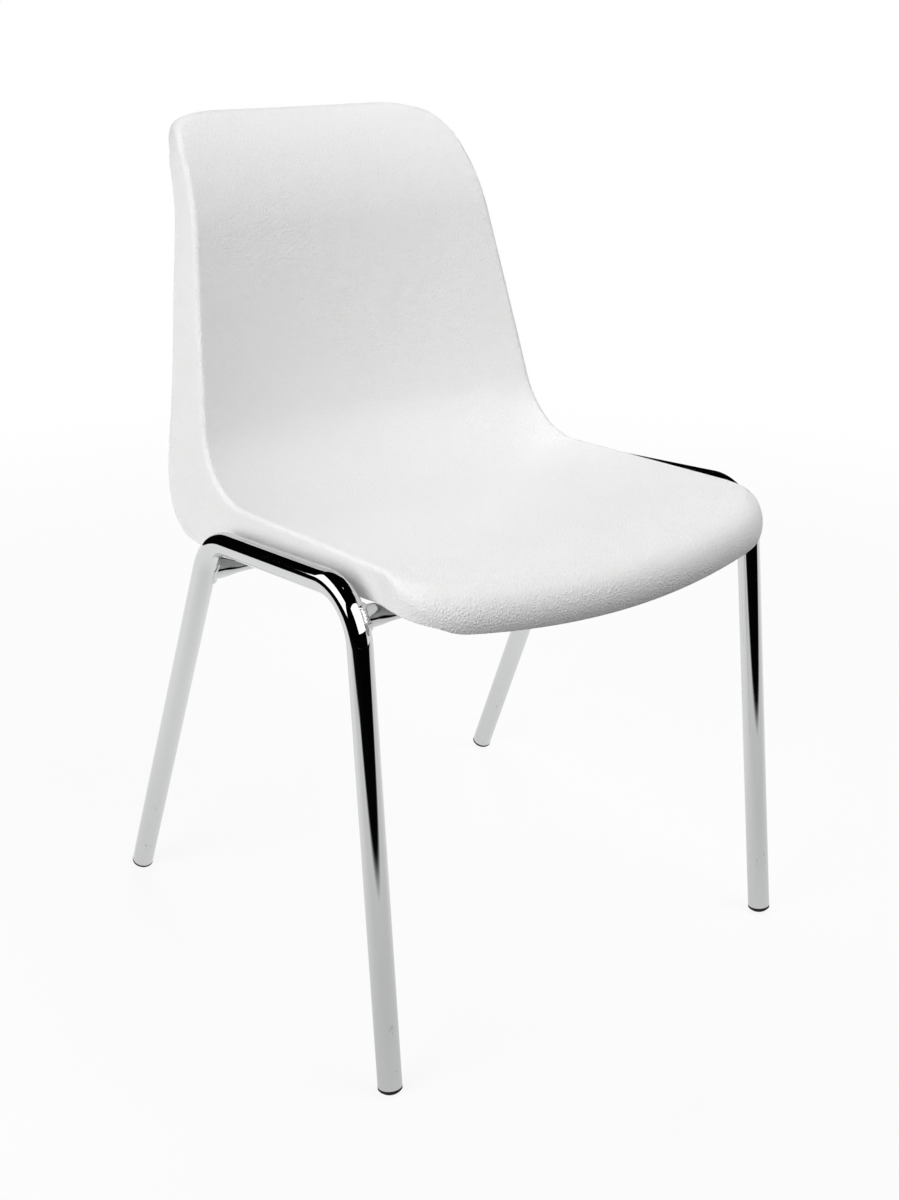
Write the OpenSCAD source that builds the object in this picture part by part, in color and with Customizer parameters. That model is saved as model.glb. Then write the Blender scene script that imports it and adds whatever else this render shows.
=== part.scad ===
// Stacking chair: a one-piece moulded seat shell on a frame of bent and welded steel tube.
// Millimetres. The chair faces -Y, +X is the sitter's left, Z is up and the floor is Z = 0.
// Sizes along Y are measured from the middle of the frame's feet; centre_y then centres the chair.

/* [Seat shell, side view] */
// Height of the seat's side edges over the floor, above the middle of the feet
seat_height = 455.6; // [380:0.1:560]
// Fall of the seat's side edges towards the back, in degrees
seat_pitch = 3; // [0:0.5:6]
// Where the side edges start to curve down into the front lip, in front of the middle
seat_front = 168; // [140:1:205]
// Radius of that curve
lip_curve_r = 140; // [80:5:220]
// Length of the curve to the front edge's middle
lip_curve_len = 78; // [50:1:95]
// Where the lines of the seat and back edges cross, behind the middle
heel_y = 103.5; // [85:0.5:125]
// Radius of the bend between seat and back
heel_r = 74; // [55:1:95]
// Lean of the back from upright, in degrees
back_recline = 14; // [8:0.5:20]
// Straight length of the back's edge, from the crossing of the two lines
back_len = 236; // [180:1:290]
// Radius by which the top of the back curls away to the rear
top_curve_r = 160; // [110:5:240]
// Length of that curl
top_curve_len = 140; // [90:1:170]

/* [Seat shell, outline] */
// Half the seat's width between its side edges
seat_half_w = 199.5; // [160:0.5:245]
// Narrowing of each side of the back per length of back
back_taper = 0.142; // [0.05:0.001:0.2]
// Distance past the seat's end at which the narrowing starts
taper_start = 67; // [30:1:100]
// Length over which it sets in
taper_soft = 30; // [10:1:60]
// Radius of the two front corners
front_corner_r = 48; // [30:1:60]
// Radius of the two top corners
top_corner_r = 54; // [30:1:70]
// How far the front edge bows forward of its corners
front_bow = 33; // [0:1:45]
// Length of seat that takes part in the bow
bow_reach = 160; // [120:5:220]
// How far the top edge rises over its corners
top_crown = 7; // [0:0.5:15]
// Length of back that takes part in that rise
crown_reach = 100; // [80:5:150]

/* [Seat shell, hollow of the seat and back] */
// Depth of the hollow under the front edge's middle
dish_front = 0; // [0:0.5:8]
// Depth in the seat
dish_seat = 14; // [6:0.5:20]
// Depth at the bend
dish_heel = 26; // [12:0.5:32]
// Depth in the back
dish_back = 21; // [8:0.5:28]
// Depth at the top edge
dish_top = 5; // [0:0.5:12]

/* [Seat shell, rolled rim] */
// Wall of the moulding
shell_t = 4; // [3:0.1:5]
// Radius of the roll along the sides
roll_side = 5; // [4.9:0.1:8]
// Radius of the roll at the front lip
roll_front = 29; // [15:0.5:35]
// Radius of the roll at the top edge
roll_top = 20; // [10:0.5:24]
// How far into the front corners, in degrees from the side, their wide roll sets in and is all of the roll
front_blend = [0, 82]; // [0:1:90]
// The same for the top corners
top_blend = [15, 72]; // [0:1:90]
// Outward lean of the skirt below the roll, in degrees
skirt_draft = 9.7; // [4:0.1:14]
// Depth of the skirt at the middle of the front edge
skirt_front = 23.5; // [18:0.5:35]
// Depth behind the front corners
skirt_corner = 27; // [18:0.5:32]
// Depth halfway along the seat
skirt_seat = 36; // [24:0.5:40]
// Depth at the end of the seat
skirt_hip = 45; // [30:0.5:48]
// Depth at the heel, behind the legs
skirt_heel = 75; // [50:0.5:80]
// Depth at the foot of the back
skirt_low = 52; // [35:0.5:60]
// Depth halfway up the back
skirt_back = 34; // [20:0.5:45]
// Depth below the top corners
skirt_shoulder = 22; // [15:0.5:30]
// Depth at the middle of the top edge
skirt_top = 11; // [8:0.5:20]

/* [Side frames] */
// Outside diameter of the frame tube
tube_d = 22; // [18:0.5:27]
// Wall of the frame tube
tube_wall = 1.5; // [1:0.1:2.5]
// Room between the shell's widest point and the rail beside it
rail_clear = 1.5; // [1:0.1:5]
// Height of the seat's side edges above the rail's centre line, above the middle of the feet
rail_drop = 21.6; // [18:0.1:30]
// Rise of the rail towards the front, in degrees
rail_pitch = 5.66; // [2:0.01:8]
// Where the lines of rail and rear leg cross, behind the middle
rail_rear = 57.7; // [40:0.1:75]
// Where the lines of rail and front leg cross, in front of the middle
rail_front = 176.4; // [150:0.1:195]
// Slope of the rear leg from upright, in degrees
rear_rake = 22.4; // [12:0.1:26]
// Slope of the front leg from upright, in degrees
front_rake = 7.3; // [3:0.1:12]
// Inward lean of the whole side frame, in degrees
frame_lean = 1.25; // [0:0.05:3]
// Bend radius of the tube's centre line at the rear
rear_bend_r = 55; // [40:1:70]
// Bend radius of the tube's centre line at the front
front_bend_r = 47; // [38:1:60]

/* [Crossbars] */
// Diameter of the crossbar tube before it is pressed flat
bar_d = 20; // [16:0.5:21]
// Wall of the crossbar tube
bar_wall = 1.5; // [1:0.1:2]
// Thickness of the bar where it is pressed flat
bar_flat_t = 11.5; // [8:0.1:15]
// Length that stays round outside each side frame tube
bar_round_len = 6; // [5:0.5:15]
// Length over which the round turns flat
bar_press_len = 16; // [10:1:30]
// Angle round the front bend, up from the leg, at which the front bar joins
front_bar_turn = 27; // [10:1:60]
// Distance of the rear bar below the end of the rear bend
rear_bar_drop = 6.7; // [4:0.1:20]
// Leg length of the weld around each joint
weld_leg = 3; // [2:0.1:4]

/* [Fixings] */
// Distance of the two front screws from the chair's middle
front_screw_x = 125; // [80:1:140]
// Distance of the two rear screws from the chair's middle
rear_screw_x = 110; // [70:1:130]
// Diameter of the screws
screw_d = 5; // [4:0.1:6]
// Length of the screws under the head
screw_len = 30; // [24:1:34]
// Diameter of the pan head
head_d = 9.5; // [8:0.1:11]
// Height of the pan head
head_h = 3.2; // [2.5:0.1:4]
// Diameter of the moulded bosses where they stand on the crossbars
boss_d = 16; // [13:0.5:20]
// Thickness of the webs that brace each boss
web_t = 2.5; // [2:0.1:4]

/* [Glides] */
// Radius of the domed underside of the glides
dome_r = 14; // [13.6:0.1:18]
// Depth that the dome is worn or moulded flat where it stands
dome_flat = 0.6; // [0.3:0.1:1.2]
// Thickness of the collar under the tube's end
collar_t = 2.5; // [1.5:0.1:5]
// Length of the plug inside the tube
plug_len = 16; // [10:1:30]

/* [Hidden] */
$fn = 48;
LEFT = 1;
RIGHT = -1;
FRONT = 0;
REAR = 1;

// Clearances: the plug's ribs in the tube, a screw in its pilot hole and in the bar,
// a cut end from the tube it is welded to, and a bead from the two surfaces it fills
plug_clear = 0.1;
pilot_clear = 0.1;
bar_hole_clear = 0.4;
cope_gap = 0.1;
bead_gap = 0.2;
// Overrun of a cut past the face that it opens, and inset of a lofted end inside its neighbour
overrun = 1;
nest = 0.03;

// Mesh steps of the shell: across, along a corner, along the straight, round the roll, down the skirt
columns = 16;
corner_steps = 6;
side_steps = 34;
roll_steps = 5;
skirt_steps = 3;
// Half the distance between the two points that a surface slope is read from
probe = 0.5;

// ---- General functions

function unit(v) = v / norm(v);
function dir(a) = [cos(a), sin(a)];
function left_of(a) = [-sin(a), cos(a)];
function clamp01(t) = min(max(t, 0), 1);
function ease(t) = let (c = clamp01(t)) c * c * (3 - 2 * c);
function ramp(x, soft) = (x + sqrt(x * x + soft * soft)) / 2;
function radians(a) = a * PI / 180;
function degrees(a) = a * 180 / PI;
function heading(a, b) = (atan2(b[1] - a[1], b[0] - a[0]) + 360) % 360;

// Slope of a table of [position, value] at entry i
function slope_at(t, i) =
    let (a = t[max(i - 1, 0)], b = t[min(i + 1, len(t) - 1)]) (b[1] - a[1]) / (b[0] - a[0]);

// Smooth curve through two neighbouring entries, at the share u of the way between them
function between(t, i, u) =
    let (h = t[i + 1][0] - t[i][0], u2 = u * u, u3 = u2 * u)
    (2 * u3 - 3 * u2 + 1) * t[i][1] + (u3 - 2 * u2 + u) * h * slope_at(t, i)
    + (3 * u2 - 2 * u3) * t[i + 1][1] + (u3 - u2) * h * slope_at(t, i + 1);

// Smooth curve through a whole table, straight beyond its ends
function station(t, s, i = 0) =
    s <= t[0][0] ? t[0][1] + slope_at(t, 0) * (s - t[0][0])
    : i == len(t) - 1 ? t[i][1] + slope_at(t, i) * (s - t[i][0])
    : s <= t[i + 1][0] ? between(t, i, (s - t[i][0]) / (t[i + 1][0] - t[i][0]))
    : station(t, s, i + 1);

// ---- Side view of the shell's edge, as a line of [y, z] with its length s counted from seat_front

heel_turn = 90 - back_recline + seat_pitch;
back_angle = heel_turn - seat_pitch;
heel_cut = heel_r * tan(heel_turn / 2);
seat_start = [-seat_front, seat_height + seat_front * tan(seat_pitch)];
s_front = -lip_curve_len;
s_bend = (heel_y + seat_front) / cos(seat_pitch) - heel_cut;
s_back = s_bend + heel_r * radians(heel_turn);
s_curl = s_back + back_len - heel_cut;
s_top = s_curl + top_curve_len;
lip_centre = seat_start - lip_curve_r * left_of(-seat_pitch);
heel_centre = seat_start + s_bend * dir(-seat_pitch) + heel_r * left_of(-seat_pitch);
back_start = heel_centre - heel_r * left_of(back_angle);
curl_centre = back_start + (s_curl - s_back) * dir(back_angle) - top_curve_r * left_of(back_angle);

function edge_angle(s) =
    s < 0 ? -seat_pitch - degrees(s / lip_curve_r)
    : s < s_bend ? -seat_pitch
    : s < s_back ? -seat_pitch + degrees((s - s_bend) / heel_r)
    : s < s_curl ? back_angle
    : back_angle - degrees((s - s_curl) / top_curve_r);

function edge_point(s) =
    let (n = left_of(edge_angle(s)))
    s < 0 ? lip_centre + lip_curve_r * n
    : s < s_bend ? seat_start + s * dir(-seat_pitch)
    : s < s_back ? heel_centre - heel_r * n
    : s < s_curl ? back_start + (s - s_back) * dir(back_angle)
    : curl_centre + top_curve_r * n;

// ---- Sitting surface

s_waist = (s_bend + s_back) / 2;
DISH = [
    [s_front, dish_front],
    [0.6 * s_bend, dish_seat],
    [s_waist, dish_heel],
    [(s_back + s_curl) / 2, dish_back],
    [s_top, dish_top]
];

function half_w(s) = seat_half_w - back_taper * ramp(s - s_bend - taper_start, taper_soft);

// A row's place along the edge line, bent by the front edge's bow and the top edge's crown
function bent(x, s) =
    s + front_bow * pow(clamp01(1 - (s - s_front) / bow_reach), 2) * pow(x / seat_half_w, 2)
    - top_crown * pow(clamp01(1 - (s_top - s) / crown_reach), 2) * pow(x / half_w(s_top), 2);

function skin(x, s) =
    let (
        e = bent(x, s),
        depth = station(DISH, e) * (1 - pow(x / half_w(e), 2)),
        p = edge_point(e) - depth * left_of(edge_angle(e))
    )
    [x, p[0], p[1]];

function skin_normal(x, s) =
    unit(cross(skin(x + probe, s) - skin(x - probe, s), skin(x, s + probe) - skin(x, s - probe)));

// Rows of the surface as [place, inset of the outline], with round corners at both ends
ROWS = concat(
    [for (i = [0:corner_steps]) let (a = 90 * i / corner_steps)
        [s_front + front_corner_r * (1 - cos(a)), front_corner_r * (1 - sin(a))]],
    [for (i = [1:side_steps - 1])
        let (from = s_front + front_corner_r, to = s_top - top_corner_r)
        [from + (to - from) * i / side_steps, 0]],
    [for (i = [corner_steps:-1:0]) let (a = 90 * i / corner_steps)
        [s_top - top_corner_r * (1 - cos(a)), top_corner_r * (1 - sin(a))]]
);
rows = len(ROWS) - 1;
GRID = [for (r = ROWS) for (c = [0:columns]) [(half_w(r[0]) - r[1]) * (2 * c / columns - 1), r[0]]];
function grid_index(r, c) = r * (columns + 1) + c;

// The grid's border, once round from the front right corner
BORDER = concat(
    [for (c = [0:columns]) grid_index(0, c)],
    [for (r = [1:rows]) grid_index(r, columns)],
    [for (c = [columns - 1:-1:0]) grid_index(rows, c)],
    [for (r = [rows - 1:-1:1]) grid_index(r, 0)]
);
border = len(BORDER);

// ---- Rolled rim and skirt

SKIRT = [
    [s_front, skirt_front],
    [s_front + front_corner_r, skirt_corner],
    [0.55 * s_bend, skirt_seat],
    [s_bend + 12, skirt_hip],
    [s_waist + 6, skirt_heel],
    [s_back + 2, skirt_low],
    [(s_back + s_curl) / 2 + 60, skirt_back],
    [s_top - top_corner_r, skirt_shoulder],
    [s_top, skirt_top]
];
min_skirt = 2;

// Above 1, the crease leaves the side's line slowly at first
blend_power = 1.5;

// Radius of the wide roll at the nearer end, and its share of the rim's turn. Through a corner the share
// grows from the side, where the narrow roll turns all the way: the crease of the narrow roll runs on down
// past the corner and fades into the end's lower edge.
function at_front(s) = s < s_waist;
function wide_r(s) = at_front(s) ? roll_front : roll_top;
function wide_share(s) =
    let (
        blend = at_front(s) ? front_blend : top_blend,
        corner_r = at_front(s) ? front_corner_r : top_corner_r,
        from_end = at_front(s) ? s - s_front : s_top - s,
        into = 90 - acos(1 - clamp01(from_end / corner_r))
    )
    pow(clamp01((into - blend[0]) / (blend[1] - blend[0])), blend_power);
function narrow_r(s) = roll_side + (wide_r(s) - roll_side) * wide_share(s);

// How far the rim has come out and down at the angle a of its whole turn
function rolled(s, turn, a) =
    let (w = min(a, wide_share(s) * turn))
    [
        wide_r(s) * sin(w) + narrow_r(s) * (sin(a) - sin(w)),
        wide_r(s) * (1 - cos(w)) + narrow_r(s) * (cos(w) - cos(a))
    ];

// One entry per border point: [point, surface normal, outward direction, place, turn, skirt length]
SKIN_POINTS = [for (g = GRID) skin(g[0], g[1])];
SKIN_NORMALS = [for (g = GRID) skin_normal(g[0], g[1])];
RIM = [for (i = [0:border - 1])
    let (
        g = GRID[BORDER[i]],
        n = SKIN_NORMALS[BORDER[i]],
        along = SKIN_POINTS[BORDER[(i + 1) % border]] - SKIN_POINTS[BORDER[(i + border - 1) % border]],
        out = unit(cross(along, n)),
        upright = left_of(edge_angle(bent(g[0], g[1]))),
        tilt = asin(out * [0, upright[0], upright[1]]),
        turn = 90 - skirt_draft + tilt,
        skirt = max(station(SKIRT, g[1]) - rolled(g[1], turn, turn)[1], min_skirt) / cos(skirt_draft)
    )
    [SKIN_POINTS[BORDER[i]], n, out, g[1], turn, skirt]];

rings = roll_steps + skirt_steps;
function rim_angle(e, k) = e[4] * min(k / roll_steps, 1);
function rim_normal(e, k) = let (a = rim_angle(e, k)) cos(a) * e[1] + sin(a) * e[2];
function rim_point(e, k) =
    let (
        a = rim_angle(e, k),
        roll = rolled(e[3], e[4], a),
        down = e[5] * max(k - roll_steps, 0) / skirt_steps
    )
    e[0] + (roll[0] + down * cos(a)) * e[2] - (roll[1] + down * sin(a)) * e[1];

OUTER = concat(SKIN_POINTS, [for (k = [1:rings]) for (e = RIM) rim_point(e, k)]);
INNER = concat(
    [for (i = [0:len(GRID) - 1]) SKIN_POINTS[i] - shell_t * SKIN_NORMALS[i]],
    [for (k = [1:rings]) for (e = RIM) rim_point(e, k) - shell_t * rim_normal(e, k)]
);
shell_half_w = max([for (p = OUTER) p[0]]);
centre_y = -(min([for (p = OUTER) p[1]]) + max([for (p = OUTER) p[1]])) / 2;

// Two triangles of a quad whose corners run clockwise seen from outside
function quad(a, b, c, d) = [[a, b, c], [a, c, d]];
function flipped(faces) = [for (f = faces) [f[2], f[1], f[0]]];
function ring_index(k, i) = k == 0 ? BORDER[i % border] : len(GRID) + (k - 1) * border + i % border;

GRID_FACES = [for (r = [0:rows - 1]) for (c = [0:columns - 1])
    each quad(grid_index(r, c), grid_index(r + 1, c), grid_index(r + 1, c + 1), grid_index(r, c + 1))];
RING_FACES = [for (k = [0:rings - 1]) for (i = [0:border - 1])
    each quad(ring_index(k, i), ring_index(k, i + 1), ring_index(k + 1, i + 1), ring_index(k + 1, i))];

module shell_skin() {
    skin_faces = concat(GRID_FACES, RING_FACES);
    under = len(OUTER);
    rim_faces = [for (i = [0:border - 1])
        each quad(ring_index(rings, i), ring_index(rings, i + 1),
            under + ring_index(rings, i + 1), under + ring_index(rings, i))];
    polyhedron(
        points = concat(OUTER, INNER),
        faces = concat(skin_faces, rim_faces, [for (f = flipped(skin_faces)) f + [under, under, under]])
    );
}

// Everything below the middle of the seat's wall, down to the floor: it trims the bosses to the shell
trim_columns = 14;
trim_rows = 20;
trim_half_w = 0.88 * seat_half_w;
module under_seat() {
    function place(r, c) = [
        trim_half_w * (2 * c / trim_columns - 1),
        s_front + front_corner_r + (s_waist + 10 - s_front - front_corner_r) * r / trim_rows
    ];
    function at(r, c) = r * (trim_columns + 1) + c;
    top = [for (r = [0:trim_rows]) for (c = [0:trim_columns])
        let (g = place(r, c)) skin(g[0], g[1]) - shell_t / 2 * skin_normal(g[0], g[1])];
    below = len(top);
    top_faces = [for (r = [0:trim_rows - 1]) for (c = [0:trim_columns - 1])
        each quad(at(r, c), at(r + 1, c), at(r + 1, c + 1), at(r, c + 1))];
    loop = concat(
        [for (c = [0:trim_columns]) at(0, c)],
        [for (r = [1:trim_rows]) at(r, trim_columns)],
        [for (c = [trim_columns - 1:-1:0]) at(trim_rows, c)],
        [for (r = [trim_rows - 1:-1:1]) at(r, 0)]
    );
    wall_faces = [for (i = [0:len(loop) - 1])
        let (a = loop[i], b = loop[(i + 1) % len(loop)]) each quad(a, b, below + b, below + a)];
    polyhedron(
        points = concat(top, [for (p = top) [p[0], p[1], 0]]),
        faces = concat(top_faces, wall_faces, [for (f = flipped(top_faces)) f + [below, below, below]])
    );
}

// ---- Side frame: one tube bent in a plane, given as [y, height in that plane]

tube_r = tube_d / 2;
bore_r = tube_r - tube_wall;
rail_mid_z = seat_height - rail_drop;
rear_corner = [rail_rear, rail_mid_z - rail_rear * tan(rail_pitch)];
front_corner = [-rail_front, rail_mid_z + rail_front * tan(rail_pitch)];
rear_foot = [rear_corner[0] + rear_corner[1] * tan(rear_rake), 0];
front_foot = [front_corner[0] - front_corner[1] * tan(front_rake), 0];
rear_up = heading(rear_foot, rear_corner);
forward = heading(rear_corner, front_corner);
front_down = heading(front_corner, front_foot);
rear_turn = forward - rear_up;
front_turn = front_down - forward;
rear_cut = rear_bend_r * tan(rear_turn / 2);
front_cut = front_bend_r * tan(front_turn / 2);
rear_bend_start = rear_corner - rear_cut * dir(rear_up);
rear_bend_end = rear_corner + rear_cut * dir(forward);
front_bend_start = front_corner - front_cut * dir(forward);
front_bend_end = front_corner + front_cut * dir(front_down);
rear_centre = rear_bend_start + rear_bend_r * left_of(rear_up);
front_centre = front_bend_start + front_bend_r * left_of(forward);

// How much the tube draws in at its bends, and how far each straight reaches into a bend
draw = 0.01;
tuck = 0.3;

// The side frame's plane leans in: its distance from the chair's middle at the floor
rail_half_w = shell_half_w + rail_clear + tube_r;
foot_half_w = rail_half_w + rail_mid_z * tan(frame_lean);

// Distance up the leg from the floor to the glide's collar and to the tube's end
dome_centre_h = dome_r - dome_flat;
dome_h = dome_r - sqrt(dome_r * dome_r - tube_r * tube_r);
function collar_at(up) = dome_centre_h / (abs(sin(up)) * cos(frame_lean)) - (dome_r - dome_h);
function tube_start(up) = collar_at(up) + collar_t;

module on_side(side) {
    if (side == LEFT) children();
    else mirror([1, 0, 0]) children();
}

// The left side frame's plane: X across it, Y along the chair, Z up the plane
module in_frame_plane() {
    translate([foot_half_w, centre_y, 0]) rotate([0, -frame_lean, 0]) children();
}

// A straight rod between two points of the plane
module rod(from, to, r) {
    translate([0, from[0], from[1]]) rotate([heading(from, to) - 90, 0, 0])
        cylinder(r = r, h = norm(to - from));
}

// A bend about a centre in the plane, from the heading at its start
module elbow(centre, from, turn, bend_r, r) {
    translate([0, centre[0], centre[1]]) rotate([90, 0, 90]) rotate([0, 0, from - 90])
        rotate_extrude(angle = turn, $fn = 96) translate([bend_r, 0]) circle(r = r, $fn = 48);
}

module tube_run(r, past = 0) {
    rod(rear_foot + (tube_start(rear_up) - past) * dir(rear_up), rear_bend_start + tuck * dir(rear_up), r);
    elbow(rear_centre, rear_up, rear_turn, rear_bend_r, r - draw);
    rod(rear_bend_end - tuck * dir(forward), front_bend_start + tuck * dir(forward), r);
    elbow(front_centre, forward, front_turn, front_bend_r, r - draw);
    rod(front_bend_end - tuck * dir(front_down),
        front_foot - (tube_start(front_down) - past) * dir(front_down), r);
}

module side_frame(side) {
    color([0.78, 0.79, 0.8]) on_side(side) in_frame_plane() difference() {
        tube_run(tube_r);
        tube_run(bore_r, overrun);
    }
}

// Distance of a point of the plane from the tube's centre line
function rod_distance(p, a, b) = norm(p - a - clamp01((p - a) * (b - a) / pow(norm(b - a), 2)) * (b - a));
function elbow_distance(p, centre, from, turn, bend_r) =
    let (a = (heading(centre, p) - from + 90 + 720) % 360)
    a <= turn ? abs(norm(p - centre) - bend_r) : bend_r;
function off_centre_line(p) = min(
    rod_distance(p, rear_foot, rear_bend_start),
    elbow_distance(p, rear_centre, rear_up, rear_turn, rear_bend_r),
    rod_distance(p, rear_bend_end, front_bend_start),
    elbow_distance(p, front_centre, forward, front_turn, front_bend_r),
    rod_distance(p, front_bend_end, front_foot)
);

// ---- Crossbars: round tube, pressed flat between its ends and coped to the side frames

// Where each bar meets the tube's centre line, and the tube's direction there
BAR_AT = [
    front_centre + front_bend_r * left_of(front_down - front_bar_turn + 180),
    rear_bend_start - rear_bar_drop * dir(rear_up)
];
BAR_TUBE_ANGLE = [front_down - front_bar_turn, rear_up];
SCREW_X = [front_screw_x, rear_screw_x];
function bar_y(which) = BAR_AT[which][0];
function bar_z(which) = BAR_AT[which][1] * cos(frame_lean);
function bar_half(which) = foot_half_w - BAR_AT[which][1] * sin(frame_lean);
function bar_top(which) = bar_z(which) + bar_flat_t / 2;

press_steps = 6;
arc_points = 12;
bar_end_len = tube_r + bar_round_len;

// Width of a tube of diameter d pressed to the thickness t: its girth stays the same
function pressed_w(d, t) = t + PI / 2 * (d - t);

// Outline of a pressed tube: two half rounds, with no point on the seam between round and flat
function pressed_outline(w, t) = [for (side = [1, -1]) for (i = [0:arc_points - 1])
    let (a = (i + 0.5) * 180 / arc_points - 90)
    side * [(w - t) / 2 + t / 2 * cos(a), t / 2 * sin(a)]];

module pressed_end(inset) {
    points = 2 * arc_points;
    sections = press_steps + 2;
    places = concat([-overrun], [for (i = [0:press_steps]) bar_press_len * i / press_steps],
        [bar_press_len + overrun]);
    flatness = [for (x = places) ease(x / bar_press_len)];
    ring_points = [for (k = [0:sections])
        let (
            t = bar_d + (bar_flat_t - bar_d) * flatness[k],
            shrink = 2 * (inset + nest)
        )
        for (p = pressed_outline(pressed_w(bar_d, t) - shrink, t - shrink)) [places[k], p[0], p[1]]];
    side_faces = [for (k = [0:sections - 1]) for (i = [0:points - 1])
        let (j = (i + 1) % points)
        each quad(k * points + i, (k + 1) * points + i, (k + 1) * points + j, k * points + j)];
    polyhedron(
        points = ring_points,
        faces = concat(side_faces, [[for (i = [0:points - 1]) i]],
            [[for (i = [points - 1:-1:0]) sections * points + i]])
    );
}

// The bar's outside, or its bore when inset by the wall
module bar_form(which, inset) {
    flat_half = bar_half(which) - bar_end_len - bar_press_len;
    t = bar_flat_t - 2 * inset;
    w = pressed_w(bar_d, bar_flat_t) - 2 * inset;
    rotate([90, 0, 90]) translate([0, 0, -flat_half]) linear_extrude(2 * flat_half) {
        square([w - t, t], center = true);
        for (side = [1, -1]) translate([side * (w - t) / 2, 0]) circle(d = t);
    }
    for (side = [LEFT, RIGHT]) on_side(side) {
        translate([flat_half + bar_press_len, 0, 0]) mirror([1, 0, 0]) pressed_end(inset);
        translate([flat_half + bar_press_len, 0, 0]) rotate([0, 90, 0])
            cylinder(r = bar_d / 2 - inset, h = bar_end_len);
    }
}

module crossbar(which) {
    color([0.72, 0.74, 0.74]) difference() {
        translate([0, centre_y + bar_y(which), bar_z(which)]) difference() {
            bar_form(which, 0);
            bar_form(which, bar_wall);
            for (side = [LEFT, RIGHT]) translate([side * SCREW_X[which], 0, -bar_d])
                cylinder(d = screw_d + 2 * bar_hole_clear, h = 2 * bar_d);
        }
        for (side = [LEFT, RIGHT]) on_side(side) in_frame_plane() tube_run(tube_r + cope_gap);
    }
}

// ---- Weld beads: a fillet swept round each coped joint

bead_steps = 32;
bead_bulge = 0.12;

// Distance from the chair's middle to the tube's inner face, along a line level with y and z
function tube_face_x(y, z, tries = 4, x = 0) =
    let (
        lifted = [y, (foot_half_w - x) * sin(frame_lean) + z * cos(frame_lean)],
        room = pow(tube_r + bead_gap, 2) - pow(off_centre_line(lifted), 2),
        across = -sqrt(max(room, 0)),
        found = foot_half_w + (across - z * sin(frame_lean)) / cos(frame_lean)
    )
    tries == 0 ? x : tube_face_x(y, z, tries - 1, found);

// Section of the bead at the angle a round the bar, as [x, distance from the bar's centre line]
function bead_section(which, a) =
    let (
        edge = tube_r - 0.4,
        on_bar = bar_d / 2 + bead_gap,
        reach = edge / max(abs(sin(a - BAR_TUBE_ANGLE[which])), 0.01),
        on_tube = max(min(on_bar + weld_leg, reach), on_bar + 0.3),
        half_way = (on_bar + on_tube) / 2,
        face = [for (r = [on_bar, half_way, on_tube])
            tube_face_x(bar_y(which) + r * cos(a), bar_z(which) + r * sin(a), 4, rail_half_w)],
        toe = [face[0] - weld_leg, on_bar],
        head = [face[2], on_tube],
        chord = head - toe,
        swell = bead_bulge * [-chord[1], chord[0]]
    )
    [[face[0], on_bar], toe, toe + 0.3 * chord + swell, toe + 0.7 * chord + swell, head, [face[1], half_way]];

module weld(which, side) {
    sections = [for (i = [0:bead_steps - 1]) bead_section(which, 360 * i / bead_steps)];
    n = len(sections[0]);
    points = [for (i = [0:bead_steps - 1]) let (a = 360 * i / bead_steps) for (p = sections[i])
        [p[0], bar_y(which) + p[1] * cos(a), bar_z(which) + p[1] * sin(a)]];
    faces = [for (i = [0:bead_steps - 1]) for (k = [0:n - 1])
        let (here = i * n, next = ((i + 1) % bead_steps) * n, m = (k + 1) % n)
        each quad(here + k, here + m, next + m, next + k)];
    color([0.66, 0.67, 0.68]) on_side(side) translate([0, centre_y, 0])
        polyhedron(points = points, faces = faces);
}

// ---- Screws, and the bosses that they hold

boss_draft = 1;
boss_tall = 90;
web_start = 6;
web_slope = 0.35;
pilot_depth = screw_len - bar_flat_t + 3.5;
head_dome_r = 7.5;
recess_depth = 1.7;
recess_span = 5.2;
recess_w = 1.2;

module at_screws() {
    for (which = [FRONT, REAR]) for (side = [LEFT, RIGHT])
        translate([side * SCREW_X[which], bar_y(which), bar_top(which)]) children();
}

// A boss and its four webs, standing on the bar
module boss() {
    cylinder(d1 = boss_d, d2 = boss_d + 2 * boss_tall * tan(boss_draft), h = boss_tall, $fn = 32);
    for (a = [45:90:315]) rotate([0, 0, a]) hull() {
        translate([0, -web_t / 2, web_start]) cube([boss_d / 2, web_t, overrun]);
        translate([0, -web_t / 2, boss_tall]) cube([boss_d / 2 + web_slope * boss_tall, web_t, overrun]);
    }
}

module seat_shell() {
    color([0.93, 0.93, 0.92]) translate([0, centre_y, 0]) difference() {
        union() {
            shell_skin();
            intersection() {
                under_seat();
                at_screws() boss();
            }
        }
        at_screws() translate([0, 0, -overrun])
            cylinder(d = screw_d + 2 * pilot_clear, h = pilot_depth + overrun, $fn = 32);
    }
}

module shell_screws() {
    color([0.6, 0.61, 0.62]) translate([0, centre_y, 0]) at_screws() translate([0, 0, -bar_flat_t])
        difference() {
            union() {
                cylinder(d = screw_d, h = screw_len);
                intersection() {
                    translate([0, 0, head_dome_r - head_h]) sphere(r = head_dome_r);
                    translate([0, 0, -head_h]) cylinder(d = head_d, h = head_h);
                }
            }
            for (a = [0, 90]) rotate([0, 0, a]) translate([0, 0, -head_h])
                cube([recess_span, recess_w, 2 * recess_depth], center = true);
        }
}

// ---- Glides: a ribbed plug in the tube's end, a collar and a dome cut level with the floor

rib_h = 1.5;
plug_core_clear = 1;

module glide_form() {
    cylinder(r = tube_r, h = collar_t);
    cylinder(r = bore_r - plug_core_clear, h = collar_t + plug_len);
    for (share = [0.25, 0.7]) translate([0, 0, collar_t + share * plug_len])
        cylinder(r = bore_r - plug_clear, h = rib_h);
    intersection() {
        translate([0, 0, dome_r - dome_h]) sphere(r = dome_r, $fn = 64);
        translate([0, 0, -dome_r]) cylinder(r = dome_r, h = dome_r);
    }
}

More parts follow.
